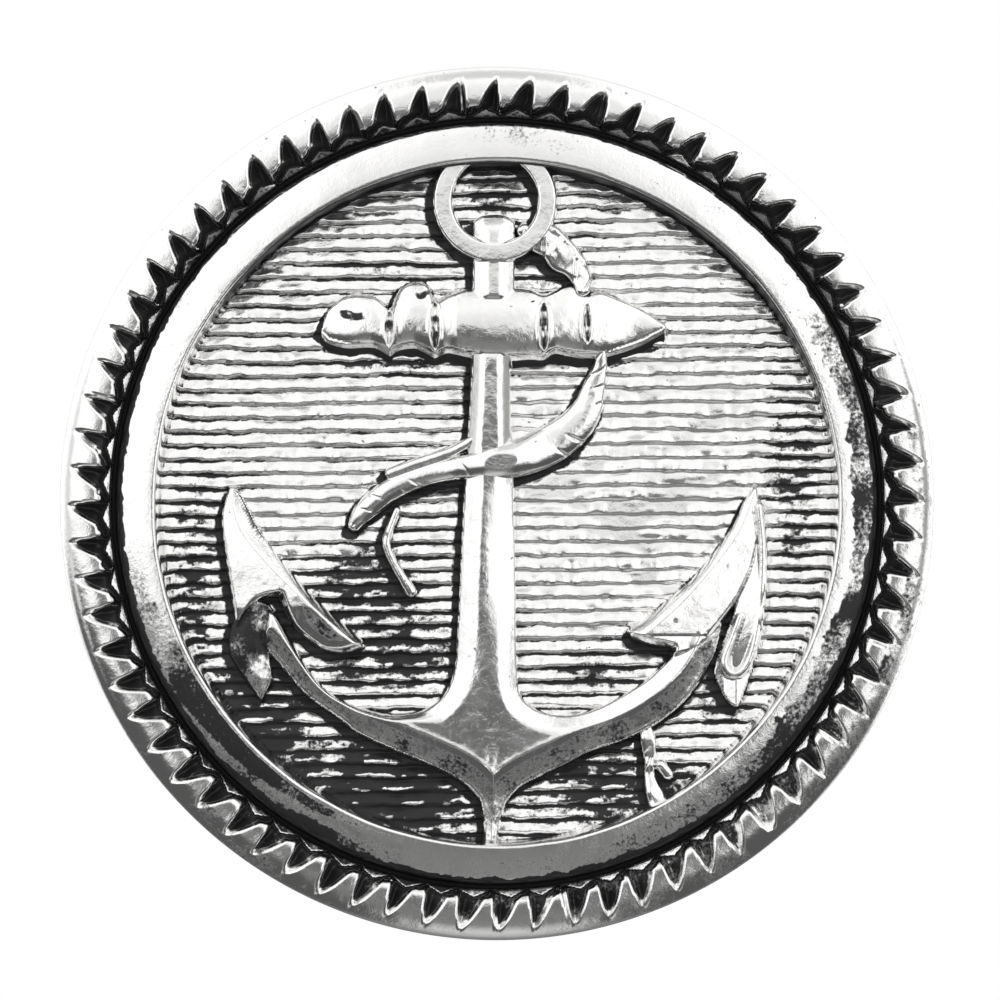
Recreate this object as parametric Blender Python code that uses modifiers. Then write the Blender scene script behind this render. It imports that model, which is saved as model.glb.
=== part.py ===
"""Anchor coat button with a swivelling wire shank, 25 mm across.

Run it with: blender --background --python part.py

The head is closed like a three-piece uniform button. A struck face plate (raised ring, ribbed ground and
anchor in one stamping), a fibreboard filler, a thin backing disc and a dished back plate are stacked inside
a rope-milled rim, whose lips close over the front and the back of the stack. A flanged eyelet goes through
the back plate, and an omega-shaped wire shank turns in it, kept in by a washer under its spread feet.

World frame: metres, +Z up. The face looks along -Y, the anchor stands along +Z, and the origin is the
centre of the shank's eye, where the thread passes. Every piece is modelled in the button's own frame, with
+Z out of the face, +Y towards the anchor's ring and height 0 on the back plate's flat land. Two empties on
the swivel axis turn that frame into the world's.
"""

import math

import bmesh
import bpy

MM = 0.001

# Driving dimensions
BUTTON_RADIUS = 12.5 * MM
EYE_STANDOFF = 4.0 * MM  # from the centre of the eye to the back plate's land
TEETH = 72
RIB_PITCH = 0.40 * MM

# Face plate: heights above the land, radii from the axis
SHEET = 0.40 * MM
GROOVE_HEIGHT = 3.45 * MM  # bottom of the groove between the rim and the raised ring
GROOVE_RADIUS = 10.90 * MM
FIELD_RADIUS = 9.55 * MM
FIELD_HEIGHT = 3.70 * MM
DOME = 0.25 * MM
RIB_DEPTH = 0.13 * MM
RIB_BED = 0.06 * MM  # underside of the ribs above the relief's floor, inside the plate
RIB_CREST_SHARE = 0.35  # where a rib's crest lies between its own edge and the next
RING = [(9.74, 4.02), (9.84, 4.30), (10.00, 4.44), (10.22, 4.42), (10.48, 4.29), (10.72, 4.09), (10.86, 3.86)]
RING_HOLLOW = (10.25 * MM, 3.78 * MM, 0.24 * MM)  # round hollow behind the ring: its centre and its radius
FLANGE_RADIUS = 11.65 * MM
RELIEF_FLOOR = FIELD_HEIGHT - 0.20 * MM  # buried foot of the anchor, inside the plate

# Rim: its top runs in (radius, height) millimetres from the inner lip over the crest to the outer round
RIM_TOP = [(11.14, 4.02), (11.46, 4.45), (11.78, 4.62), (12.06, 4.57), (12.30, 4.38), (12.44, 4.16)]
RIM_EDGE_HEIGHT = 3.92 * MM
CHANNEL_RADIUS = 11.74 * MM
CHANNEL_BOTTOM, CHANNEL_TOP = 1.55 * MM, 3.50 * MM
BACK_LIP_RADIUS = 10.45 * MM
BACK_LIP_HEIGHT = 1.15 * MM
BACK_ROLL = 0.50 * MM  # round of the outer wall into the back lip
VALLEY_FLOOR = 3.68 * MM
VALLEY_TIP = (12.38 * MM, 4.16 * MM)
VALLEY_WIDTH = math.radians(3.6)
CUTTER_MARGIN = 0.30 * MM  # how far the valleys' cutter stands clear of the rim
VALLEY_LEAN = math.radians(0.6)  # how far a valley's steep side leans back at its inner end

# Back plate and what is inside
BACK_SHEET = 0.45 * MM
LAND_RADIUS = 7.0 * MM
SEAT_RADIUS = 3.45 * MM
SEAT_DEPTH = 0.40 * MM
BACK_FLANGE_HEIGHT = 1.60 * MM
BACK_FLANGE_RADIUS = 10.35 * MM
POCKET_RADIUS = 4.6 * MM  # round the shank's feet, so that they can turn
BACKING = (2.10 * MM, 2.40 * MM)
FILLER = (2.45 * MM, 3.00 * MM)
FILLER_CROWN = (9.8 * MM, 3.22 * MM)
STACK_RADIUS = 11.60 * MM

# Shank
WIRE_RADIUS = 0.60 * MM
EYE_RADIUS = 2.60 * MM  # to the middle of the wire
LEG_OFFSET = 0.65 * MM
NECK_BEND = 0.90 * MM
FOOT_BEND = 0.85 * MM
FOOT_HEIGHT = 2.20 * MM
FOOT_REACH = 3.60 * MM
EYELET_BORE = 1.45 * MM
EYELET_TUBE = 1.80 * MM
EYELET_BACK = (0.05 * MM, 0.35 * MM, 3.2 * MM)  # back flange: bottom, top, radius
EYELET_INSIDE = (0.90 * MM, 1.20 * MM, 2.8 * MM)
WASHER = (1.25 * MM, 1.55 * MM, 3.6 * MM)

FINE_STEPS = 72
STEPS = 48
SMALL_STEPS = 32
MERGE = 1e-6

# Anchor outlines: (x, y) points in millimetres on the face; the stock's are (x, half width)
ANCHOR_TOP = 0.62 * MM  # above the field's edge
FLUKE_TOP = 0.52 * MM
ANCHOR_BODY = [
    (-0.66, 8.20), (0.52, 8.20), (0.52, 3.96), (0.62, 0.0), (0.78, -4.39), (0.98, -5.55), (1.66, -6.00),
    (2.75, -5.90), (4.10, -5.25), (5.30, -4.20), (6.25, -4.45), (5.40, -5.45), (4.12, -6.40), (2.29, -7.14),
    (1.10, -7.75), (0.42, -8.40), (0.10, -9.43), (-0.14, -9.75), (-0.34, -9.43), (-0.55, -8.45),
    (-1.30, -7.86), (-3.66, -6.94), (-5.20, -5.90), (-6.30, -4.90), (-5.60, -4.20), (-4.95, -5.10),
    (-2.94, -6.15), (-1.95, -5.94), (-1.35, -5.30), (-1.25, -4.39), (-0.95, 0.0), (-0.77, 3.96),
]
LEFT_FLUKE = [(-7.69, 0.33), (-6.35, -1.45), (-3.80, -3.80), (-4.45, -4.30), (-5.60, -3.95), (-6.45, -5.30),
              (-6.80, -5.75), (-7.35, -4.40), (-7.50, -2.00)]
RIGHT_FLUKE = [(7.33, 0.24), (7.62, -1.20), (7.70, -2.56), (7.33, -4.48), (6.87, -5.68), (6.30, -4.60),
               (5.30, -4.15), (4.20, -4.10), (3.78, -3.70), (5.60, -2.20)]
STOCK_Y = 5.19
STOCK = [
    (-5.00, 0.45), (-4.75, 0.74), (-4.20, 0.86), (-3.30, 0.90), (-3.12, 0.72), (-2.95, 1.00), (-2.65, 1.16),
    (-2.00, 1.16), (-1.77, 0.82), (-1.55, 1.00), (-0.50, 1.10), (0.70, 1.10), (1.18, 1.02), (1.35, 0.82),
    (1.52, 1.08), (2.00, 1.18), (2.42, 1.10), (2.58, 0.86), (2.75, 1.05), (3.60, 0.84), (4.40, 0.48),
    (4.85, 0.16),
]
ANCHOR_RING_CENTRE = (-0.05, 8.66)
ANCHOR_RING_RADIUS = 1.50
ANCHOR_RING_WIRE = 0.27
# Rope: x, y, height of its middle above the field's edge, half width
ROPE_OVER_STOCK = [
    (0.75, 7.25, 0.10, 0.40), (1.62, 7.02, 0.15, 0.42), (2.25, 6.55, 0.25, 0.36), (2.45, 5.90, 0.45, 0.34),
    (2.65, 5.19, 0.50, 0.34), (2.80, 4.50, 0.35, 0.34), (2.90, 3.80, 0.15, 0.36), (2.98, 2.60, 0.12, 0.38),
    (2.45, 1.85, 0.15, 0.44), (1.55, 1.42, 0.25, 0.50), (0.60, 1.10, 0.42, 0.50), (-0.20, 1.02, 0.50, 0.48),
    (-1.10, 1.08, 0.38, 0.44), (-2.00, 1.00, 0.20, 0.40), (-2.85, 0.60, 0.12, 0.36), (-3.50, -0.15, 0.10, 0.30),
    (-3.72, -0.72, 0.10, 0.24), (-3.15, -1.25, 0.10, 0.20), (-2.80, -1.95, 0.10, 0.24), (-2.50, -2.45, 0.10, 0.26),
]

SILVER = ((0.80, 0.79, 0.77, 1.0), 0.28, 1.0)
STEEL = ((0.62, 0.62, 0.63, 1.0), 0.32, 1.0)
FIBRE = ((0.32, 0.24, 0.17, 1.0), 0.85, 0.0)


def arc(centre, radius, start, end, count):
    """Points on a circle in a (radius, height) profile, angles in degrees."""
    turns = [math.radians(start + (end - start) * i / count) for i in range(count + 1)]
    return [(centre[0] + radius * math.cos(t), centre[1] + radius * math.sin(t)) for t in turns]


def dome(x, y):
    """Height of the domed field above its own edge."""
    return DOME * (1 - (x * x + y * y) / FIELD_RADIUS**2)


def start_scene():
    for obj in list(bpy.data.objects):
        bpy.data.objects.remove(obj, do_unlink=True)
    made = [bpy.data.collections.new(name) for name in ("anchor_button", "anchor_button_cutters")]
    for collection in made:
        bpy.context.scene.collection.children.link(collection)
    return made


def new_material(name, look):
    colour, roughness, metallic = look
    material = bpy.data.materials.new(name)
    material.use_nodes = True
    shader = material.node_tree.nodes["Principled BSDF"]
    shader.inputs["Base Color"].default_value = colour
    shader.inputs["Roughness"].default_value = roughness
    shader.inputs["Metallic"].default_value = metallic
    return material


def add_empty(name):
    """A frame on the swivel axis: its Z looks out of the face, its origin is on the back plate's land."""
    empty = bpy.data.objects.new(name, None)
    empty.location = (0, -EYE_STANDOFF, 0)
    empty.rotation_euler = (math.pi / 2, 0, 0)
    PARTS.objects.link(empty)
    return empty


def add_object(name, data, parent, collection=None):
    obj = bpy.data.objects.new(name, data)
    (collection or PARTS).objects.link(obj)
    obj.parent = parent
    return obj


def as_piece(obj, material):
    obj.data.materials.clear()
    obj.data.materials.append(material)
    obj.data.shade_smooth()
    obj.data.set_sharp_from_angle(angle=math.radians(35))
    return obj


def as_tool(obj):
    """A solid that only cuts or joins."""
    obj.hide_render = True
    obj.display_type = "WIRE"
    return obj


def turned(name, profile, steps, parent, collection=None):
    """A (radius, height) profile, listed down its outer side, turned about the axis."""
    mesh = bpy.data.meshes.new(name)
    count = len(profile)
    closed = profile[0][0] > 0
    edges = [(i, (i + 1) % count) for i in range(count if closed else count - 1)]
    mesh.from_pydata([(r, 0, h) for r, h in profile], edges, [])
    obj = add_object(name, mesh, parent, collection)
    screw = obj.modifiers.new("Turn", "SCREW")
    screw.steps = screw.render_steps = steps
    screw.use_merge_vertices = True
    screw.merge_threshold = MERGE
    return obj


def boolean(obj, operation, tool):
    modifier = obj.modifiers.new(f"{operation.title()} {tool.name}", "BOOLEAN")
    modifier.operation = operation
    modifier.object = tool


def mesh_of(obj, name, parent):
    """The evaluated mesh of a curve object as a closed mesh object in its place."""
    bpy.context.view_layer.update()
    evaluated = obj.evaluated_get(bpy.context.evaluated_depsgraph_get())
    mesh = bpy.data.meshes.new_from_object(evaluated)
    mesh.name = name
    shape = bmesh.new()
    shape.from_mesh(mesh)
    bmesh.ops.remove_doubles(shape, verts=shape.verts[:], dist=MERGE)
    bmesh.ops.recalc_face_normals(shape, faces=shape.faces[:])
    shape.to_mesh(mesh)
    shape.free()
    bpy.data.objects.remove(obj, do_unlink=True)
    return as_tool(add_object(name, mesh, parent, CUTTERS))


def rod(name, points, radii, resolution, parent, collection):
    """A round wire through the points, with its own radius at each."""
    curve = bpy.data.curves.new(name, "CURVE")
    curve.dimensions = "3D"
    curve.bevel_depth = max(radii)
    curve.bevel_resolution = resolution
    curve.use_fill_caps = True
    spline = curve.splines.new("POLY")
    spline.points.add(len(points) - 1)
    for spot, place, radius in zip(spline.points, points, radii):
        spot.co = (*place, 1)
        spot.radius = radius / max(radii)
    return add_object(name, curve, parent, collection)


def half_rod(name, points, radii, flatten, parent):
    """A rod cut flat at the relief's floor and pressed down to the given share of its height."""
    tool = mesh_of(rod(name, points, radii, 2, parent, CUTTERS), name, parent)
    shape = bmesh.new()
    shape.from_mesh(tool.data)
    for corner in shape.verts:
        corner.co.z = RELIEF_FLOOR + (corner.co.z - RELIEF_FLOOR) * flatten
    cut = bmesh.ops.bisect_plane(
        shape, geom=shape.verts[:] + shape.edges[:] + shape.faces[:], dist=MERGE / 10,
        plane_co=(0, 0, RELIEF_FLOOR), plane_no=(0, 0, -1), clear_outer=True)
    rims = [part for part in cut["geom_cut"] if isinstance(part, bmesh.types.BMEdge)]
    bmesh.ops.holes_fill(shape, edges=rims, sides=0)
    bmesh.ops.recalc_face_normals(shape, faces=shape.faces[:])
    shape.to_mesh(tool.data)
    shape.free()
    return tool


def raised_outline(name, outline, top, chamfer, parent):
    """A flat outline standing from the relief's floor to its top, with chamfered edges."""
    curve = bpy.data.curves.new(name, "CURVE")
    curve.dimensions = "2D"
    curve.fill_mode = "BOTH"
    curve.bevel_depth = chamfer
    curve.bevel_resolution = 0
    curve.offset = -chamfer
    height = FIELD_HEIGHT + top - RELIEF_FLOOR
    curve.extrude = height / 2 - chamfer
    spline = curve.splines.new("POLY")
    spline.points.add(len(outline) - 1)
    for spot, (x, y) in zip(spline.points, outline):
        spot.co = (x * MM, y * MM, 0, 1)
    spline.use_cyclic_u = True
    obj = add_object(name, curve, parent, CUTTERS)
    tool = mesh_of(obj, name, parent)
    tool.location.z = RELIEF_FLOOR + height / 2
    return tool


def ribbed_field(parent):
    """The lined ground: straight ribs on a shallow dome, each steep on its lower side."""
    ribs = math.ceil(FIELD_RADIUS / RIB_PITCH)
    rows, columns = 4 * ribs, 6
    half_width = FIELD_RADIUS * 1.05
    shape = bmesh.new()
    bmesh.ops.create_grid(shape, x_segments=columns, y_segments=rows, size=1)
    for corner in shape.verts:
        row = round((corner.co.y + 1) / 2 * rows)
        on_crest = row % 2
        x = corner.co.x * half_width
        y = (row // 2 - ribs + on_crest * RIB_CREST_SHARE) * RIB_PITCH
        corner.co = (x, y, FIELD_HEIGHT + dome(x, y) + (on_crest - 0.5) * RIB_DEPTH)
    base = bmesh.ops.extrude_face_region(shape, geom=shape.faces[:], use_keep_orig=True)
    for corner in base["geom"]:
        if isinstance(corner, bmesh.types.BMVert):
            corner.co.z = RELIEF_FLOOR + RIB_BED
    bmesh.ops.recalc_face_normals(shape, faces=shape.faces[:])
    mesh = bpy.data.meshes.new("ribs")
    shape.to_mesh(mesh)
    shape.free()
    ribs_tool = as_tool(add_object("ribs", mesh, parent, CUTTERS))
    edge = FIELD_RADIUS + 0.08 * MM
    low, high = FIELD_HEIGHT - 1 * MM, FIELD_HEIGHT + 1 * MM
    trim = turned("field_trim", [(0, high), (edge, high), (edge, low), (0, low)], FINE_STEPS, parent, CUTTERS)
    boolean(ribs_tool, "INTERSECT", as_tool(trim))
    return ribs_tool


def face_profile():
    """Blank of the face plate: domed field, raised ring with a hollow behind it, and flat flange."""
    skin = FIELD_HEIGHT - RIB_DEPTH
    spans = [FIELD_RADIUS * i / 6 for i in range(7)]
    centre_r, centre_h, hollow = RING_HOLLOW
    top = [(r, skin + dome(r, 0)) for r in spans]
    top += [(r * MM, h * MM) for r, h in RING]
    top += [(GROOVE_RADIUS, GROOVE_HEIGHT), (FLANGE_RADIUS, GROOVE_HEIGHT)]
    under = [(FLANGE_RADIUS, GROOVE_HEIGHT - SHEET), (centre_r + hollow, GROOVE_HEIGHT - SHEET)]
    under += arc((centre_r, centre_h), hollow, 20, 160, 4)
    under += [(centre_r - hollow, FIELD_HEIGHT - SHEET), (0, FIELD_HEIGHT - SHEET)]
    return top + under


def face_plate(parent, material):
    """The struck face: blank, ribs, anchor and rope in one piece of metal."""
    plate = turned("face_plate", face_profile(), FINE_STEPS, parent)
    stock = half_rod(
        "anchor_stock", [(x * MM, STOCK_Y * MM, RELIEF_FLOOR) for x, _ in STOCK],
        [width * MM for _, width in STOCK], 0.78, parent)
    rope = half_rod(
        "anchor_rope", [(x * MM, y * MM, FIELD_HEIGHT + h * MM) for x, y, h, _ in ROPE_OVER_STOCK],
        [width * MM for _, _, _, width in ROPE_OVER_STOCK], 1.0, parent)
    x, y = ANCHOR_RING_CENTRE
    bpy.ops.mesh.primitive_torus_add(
        location=(x * MM, y * MM, FIELD_HEIGHT + 0.25 * MM), major_segments=24, minor_segments=8,
        major_radius=ANCHOR_RING_RADIUS * MM, minor_radius=ANCHOR_RING_WIRE * MM)
    ring = bpy.context.object
    ring.name = "anchor_ring"
    ring.scale.z = 1.9
    ring.users_collection[0].objects.unlink(ring)
    CUTTERS.objects.link(as_tool(ring))
    ring.parent = parent
    tools = [
        ribbed_field(parent),
        raised_outline("anchor_body", ANCHOR_BODY, ANCHOR_TOP, 0.16 * MM, parent),
        raised_outline("left_fluke", LEFT_FLUKE, FLUKE_TOP, 0.14 * MM, parent),
        raised_outline("right_fluke", RIGHT_FLUKE, FLUKE_TOP, 0.14 * MM, parent),
        stock, ring, rope,
    ]
    for tool in tools:
        boolean(plate, "UNION", tool)
    return as_piece(plate, material)


def rim_profile():
    """Section of the rim: toothed slope, rolled edge, and lips that close over the front and the back."""
    top = [(r * MM, h * MM) for r, h in RIM_TOP]
    return [
        *top, (BUTTON_RADIUS, RIM_EDGE_HEIGHT),
        *arc((BUTTON_RADIUS - BACK_ROLL, BACK_LIP_HEIGHT + BACK_ROLL), BACK_ROLL, 0, -90, 3),
        (BACK_LIP_RADIUS, BACK_LIP_HEIGHT), (BACK_LIP_RADIUS, CHANNEL_BOTTOM),
        (CHANNEL_RADIUS, CHANNEL_BOTTOM), (CHANNEL_RADIUS, CHANNEL_TOP), (top[0][0], CHANNEL_TOP),
    ]


def rope_valleys(parent):
    """One slanting V cut between every two rope teeth: steep on one side, drawn out on the other."""
    inside = RIM_TOP[0][0] * MM - CUTTER_MARGIN
    crown = RIM_TOP[2][1] * MM + CUTTER_MARGIN
    tip_radius, tip_height = VALLEY_TIP
    shape = bmesh.new()
    for tooth in range(TEETH):
        turn = 2 * math.pi * tooth / TEETH
        corners = [
            (tip_radius, turn, tip_height),
            (tip_radius, turn, crown),
            (inside, turn - VALLEY_LEAN, crown),
            (inside, turn + VALLEY_WIDTH, crown),
            (inside, turn + VALLEY_WIDTH * 0.35, VALLEY_FLOOR),
        ]
        made = [shape.verts.new((r * math.cos(t), r * math.sin(t), h)) for r, t, h in corners]
        bmesh.ops.convex_hull(shape, input=made)
    bmesh.ops.recalc_face_normals(shape, faces=shape.faces[:])
    mesh = bpy.data.meshes.new("rope_valleys")
    shape.to_mesh(mesh)
    shape.free()
    return as_tool(add_object("rope_valleys", mesh, parent, CUTTERS))


def rim_ring(parent, material):
    rim = turned("rim_ring", rim_profile(), FINE_STEPS, parent)
    boolean(rim, "DIFFERENCE", rope_valleys(parent))
    return as_piece(rim, material)


def back_plate(parent, material):
    """Dished back: flange under the stack, flat land, and a sunk seat with the eyelet's hole."""
    bore = EYELET_TUBE + 0.05 * MM
    rise = BACK_FLANGE_HEIGHT
    dish = [(LAND_RADIUS + (BACK_FLANGE_RADIUS - LAND_RADIUS) * s,
             rise * (3 * s * s - 2 * s**3)) for s in (0, 0.25, 0.5, 0.75, 1)]
    outside = [(STACK_RADIUS, rise), *reversed(dish), (SEAT_RADIUS, 0), (SEAT_RADIUS, SEAT_DEPTH),
               (bore, SEAT_DEPTH)]
    inside = [(bore, SEAT_DEPTH + BACK_SHEET), (SEAT_RADIUS + BACK_SHEET, SEAT_DEPTH + BACK_SHEET),
              (SEAT_RADIUS + BACK_SHEET, BACK_SHEET)]
    inside += [(r, h + BACK_SHEET) for r, h in dish] + [(STACK_RADIUS, rise + BACK_SHEET)]
    return as_piece(turned("back_plate", outside + inside, STEPS, parent), material)


def flat_ring(name, inner, outer, bottom, top, parent, material):
    profile = [(outer, top), (outer, bottom), (inner, bottom), (inner, top)]
    return as_piece(turned(name, profile, STEPS, parent), material)


def filler_disc(parent, material):
    bottom, shoulder = FILLER
    crown_radius, crown = FILLER_CROWN
    profile = [(crown_radius, crown), (crown_radius, shoulder), (STACK_RADIUS, shoulder),
               (STACK_RADIUS, bottom), (POCKET_RADIUS, bottom), (POCKET_RADIUS, crown)]
    return as_piece(turned("filler_disc", profile, STEPS, parent), material)


def shank_eyelet(parent, material):
    """Tube with a rolled flange outside and a spun flange inside the back plate."""
    low, shoulder, back_radius = EYELET_BACK
    inner_low, inner_high, inside_radius = EYELET_INSIDE
    edge = 0.10 * MM
    profile = [
        (inside_radius - edge, inner_high), (inside_radius, inner_high - edge), (inside_radius, inner_low),
        (EYELET_TUBE, inner_low), (EYELET_TUBE, shoulder), (back_radius, shoulder),
        (back_radius, low + edge), (back_radius - edge, low), (EYELET_BORE + 2 * edge, low),
        (EYELET_BORE, low + 2 * edge), (EYELET_BORE, inner_high - edge), (EYELET_BORE + edge, inner_high),
    ]
    return as_piece(turned("shank_eyelet", profile, SMALL_STEPS, parent), material)


def wire_path():
    """Half of the omega, from the far point of the eye to the end of a foot, as (x, height) points."""
    eye = (0, -EYE_STANDOFF)
    neck_x = LEG_OFFSET + NECK_BEND
    rise = math.sqrt((EYE_RADIUS + NECK_BEND) ** 2 - neck_x**2)
    neck = (neck_x, eye[1] + rise)
    meeting = math.degrees(math.atan2(rise, neck_x))
    points = arc(eye, EYE_RADIUS, -90, meeting, 14)
    points += arc(neck, NECK_BEND, meeting + 180, 180, 4)[1:]
    foot = (LEG_OFFSET + FOOT_BEND, FOOT_HEIGHT - FOOT_BEND)
    points += arc(foot, FOOT_BEND, 180, 90, 4)
    return points + [(FOOT_REACH, FOOT_HEIGHT)]


def shank_loop(parent, material):
    """Omega of round wire: eye outside, two legs through the eyelet, feet spread inside."""
    half = wire_path()
    whole = [(-x, h) for x, h in reversed(half)] + half[1:]
    points = [(x, 0, h) for x, h in whole]
    wire = rod("shank_loop", points, [WIRE_RADIUS] * len(points), 3, parent, PARTS)
    wire.data.materials.append(material)
    return wire


def build():
    silver, steel, fibre = (new_material(*entry) for entry in (
        ("antique_silver", SILVER), ("shank_steel", STEEL), ("fibreboard", FIBRE)))
    head = add_empty("head_pivot")
    face_plate(head, silver)
    rim_ring(head, silver)
    back_plate(head, silver)
    shank_eyelet(head, silver)
    flat_ring("backing_disc", POCKET_RADIUS, STACK_RADIUS, *BACKING, head, steel)
    filler_disc(head, fibre)
    shank = add_empty("shank_frame")
    shank_loop(shank, steel)
    bottom, top, radius = WASHER
    flat_ring("foot_washer", EYELET_BORE, radius, bottom, top, shank, steel)


PARTS, CUTTERS = start_scene()
build()
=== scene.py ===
"""Looks for the anchor shank button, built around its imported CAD.

Every shape is worked out in the button's own frame, in millimetres: x across, y towards the anchor's ring,
z out of the face from the back plate's land. to_world() turns that frame into the row frame.
"""

import math

import bpy
import numpy as np
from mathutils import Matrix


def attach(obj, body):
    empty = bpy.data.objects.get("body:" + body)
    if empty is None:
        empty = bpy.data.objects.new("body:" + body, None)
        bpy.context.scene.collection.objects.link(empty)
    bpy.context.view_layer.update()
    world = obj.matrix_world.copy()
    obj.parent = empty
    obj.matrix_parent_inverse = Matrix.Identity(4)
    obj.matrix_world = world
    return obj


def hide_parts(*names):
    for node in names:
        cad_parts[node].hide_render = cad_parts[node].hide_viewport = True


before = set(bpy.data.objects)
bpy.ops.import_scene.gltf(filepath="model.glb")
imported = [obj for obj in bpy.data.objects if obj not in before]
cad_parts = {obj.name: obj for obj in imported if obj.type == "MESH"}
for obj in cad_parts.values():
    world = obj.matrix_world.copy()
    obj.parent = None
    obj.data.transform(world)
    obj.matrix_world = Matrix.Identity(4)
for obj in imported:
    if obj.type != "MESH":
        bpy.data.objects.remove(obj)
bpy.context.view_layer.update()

MM = 0.001
EYE_STANDOFF = 4.0  # from the centre of the eye to the back plate's land

# The face's ground: a shallow dome with straight ribs across it. FIELD_HEIGHT is the dome's foot.
FIELD_RADIUS = 9.6
FIELD_HEIGHT = 3.7
DOME = 0.25
RIB_PITCH = 0.398
RIB_DEPTH = 0.15
RIB_PHASE = 0.06

# The rim's teeth, cut between these two radii
TEETH = 72
TIP_RADIUS = 12.36
LIP_RADIUS = 11.1

RELIEF_TOP = 4.662  # just behind the front of the CAD's box, which no piece may pass
RELIEF_FOOT = 3.35  # the anchor's and the rope's hidden walls end here, below the ground
SUNK = 0.22  # their grids are kept down to this far below the ground's surface
RELIEF_BASE = 0.8  # share of the dome that the relief stands on
WALL = 6.0  # slope of the relief's walls, outside an outline
NOTHING = -1.0  # height where a piece of the relief has nothing
FAR = 9.0  # stands for any distance too great to matter


# ------------------------------ small tools

def to_world(points):
    """Points of the button's frame, in millimetres, in the row frame, in metres."""
    p = np.asarray(points, float)
    return np.stack([p[:, 0], -(EYE_STANDOFF + p[:, 2]), p[:, 1]], axis=1) * MM


def smoothstep(value, low, high):
    t = np.clip((value - low) / (high - low), 0, 1)
    return t * t * (3 - 2 * t)


def smooth_max(a, b, blend):
    h = np.clip(0.5 + 0.5 * (a - b) / blend, 0, 1)
    return b + (a - b) * h + blend * h * (1 - h)


def smooth_min(a, b, blend):
    return -smooth_max(-a, -b, blend)


def bell(value, centre, width, power=2):
    """1 at the centre, falling smoothly to nothing beyond its width; a high power makes it square."""
    return np.exp(-(((value - centre) / width) ** power))


def flat(r, t):
    """x and y of a radius and a turn."""
    return r * np.cos(t), r * np.sin(t)


def by_angle(t, table):
    """The value of an (angle in degrees from +x, value) table at a turn in radians."""
    angles, values = zip(*table)
    return np.interp(np.degrees(t) % 360, angles, values)


def noise(x, y, size, seed):
    """Smooth value noise between -1 and 1, one lattice cell per size."""
    cells = 97
    table = np.random.default_rng(seed).uniform(-1, 1, (cells, cells))
    u, v = x / size + 211.3, y / size + 157.7
    i, j = np.floor(u).astype(int), np.floor(v).astype(int)
    a, b = u - i, v - j
    a, b = a * a * (3 - 2 * a), b * b * (3 - 2 * b)

    def at(p, q):
        return table[p % cells, q % cells]

    low = at(i, j) * (1 - a) + at(i + 1, j) * a
    high = at(i, j + 1) * (1 - a) + at(i + 1, j + 1) * a
    return low * (1 - b) + high * b


def spline(points, closed=True, steps=5):
    """A Catmull-Rom curve through the points; a point given twice stays a corner."""
    p = np.asarray(points, float)
    count = len(p)
    out = []
    for i in range(count if closed else count - 1):
        if closed:
            a, b, c, d = (p[(i + k) % count] for k in (-1, 0, 1, 2))
        else:
            a, b, c, d = p[max(i - 1, 0)], p[i], p[i + 1], p[min(i + 2, count - 1)]
        if np.allclose(b, c):
            continue
        for k in range(steps):
            t = k / steps
            out.append(0.5 * (2 * b + (c - a) * t + (2 * a - 5 * b + 4 * c - d) * t * t
                              + (3 * b - a - 3 * c + d) * t**3))
    if not closed:
        out.append(p[-1])
    return np.array(out)


def near(x, y, points, margin):
    """Which grid points can be close to these points at all."""
    p = np.asarray(points, float)
    low, high = p[:, :2].min(0) - margin, p[:, :2].max(0) + margin
    return (x > low[0]) & (x < high[0]) & (y > low[1]) & (y < high[1])


def to_segment(px, py, a, b):
    """How far along a straight piece the nearest point lies, from 0 to 1, and the distance to it."""
    ex, ey = b[0] - a[0], b[1] - a[1]
    t = np.clip(((px - a[0]) * ex + (py - a[1]) * ey) / (ex * ex + ey * ey), 0, 1)
    return t, np.hypot(px - a[0] - t * ex, py - a[1] - t * ey)


def inside_distance(x, y, outline, margin=1.0):
    """Distance to a closed outline, positive inside it."""
    result = np.full(x.shape, -FAR)
    where = near(x, y, outline, margin)
    px, py = x[where], y[where]
    best = np.full(px.shape, FAR)
    inside = np.zeros(px.shape, bool)
    for a, b in zip(outline, np.roll(outline, -1, 0)):
        best = np.minimum(best, to_segment(px, py, a, b)[1])
        if a[1] != b[1]:
            crossing = (b[0] - a[0]) * (py - a[1]) / (b[1] - a[1]) + a[0]
            inside ^= ((a[1] > py) != (b[1] > py)) & (px < crossing)
    result[where] = np.where(inside, best, -best)
    return result


def along(x, y, path, margin=1.5):
    """Distance to a path of (x, y, ...) rows, side (+ is its left), length run and its other columns."""
    path = np.asarray(path, float)
    where = near(x, y, path, margin)
    px, py = x[where], y[where]
    best, side, run = np.full(px.shape, FAR), np.zeros(px.shape), np.zeros(px.shape)
    columns = [np.full(px.shape, value) for value in path[0, 2:]]
    length = 0.0
    for a, b in zip(path[:-1], path[1:]):
        t, away = to_segment(px, py, a, b)
        closer = away < best
        size = math.hypot(b[0] - a[0], b[1] - a[1])
        turn = np.sign((b[0] - a[0]) * (py - a[1]) - (b[1] - a[1]) * (px - a[0]))
        best = np.where(closer, away, best)
        side = np.where(closer, turn, side)
        run = np.where(closer, length + t * size, run)
        columns = [np.where(closer, low + (high - low) * t, old)
                   for old, low, high in zip(columns, a[2:], b[2:])]
        length += size
    results = []
    for values, elsewhere in zip((best, side, run, *columns), (FAR, 0.0, 0.0, *path[0, 2:])):
        whole = np.full(x.shape, elsewhere)
        whole[where] = values
        results.append(whole)
    return (*results[:3], results[3:])


# ------------------------------ the struck face

def dome(x, y):
    """Height of the ground's dome above its foot."""
    return DOME * (1 - (x * x + y * y) / FIELD_RADIUS**2)


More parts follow.
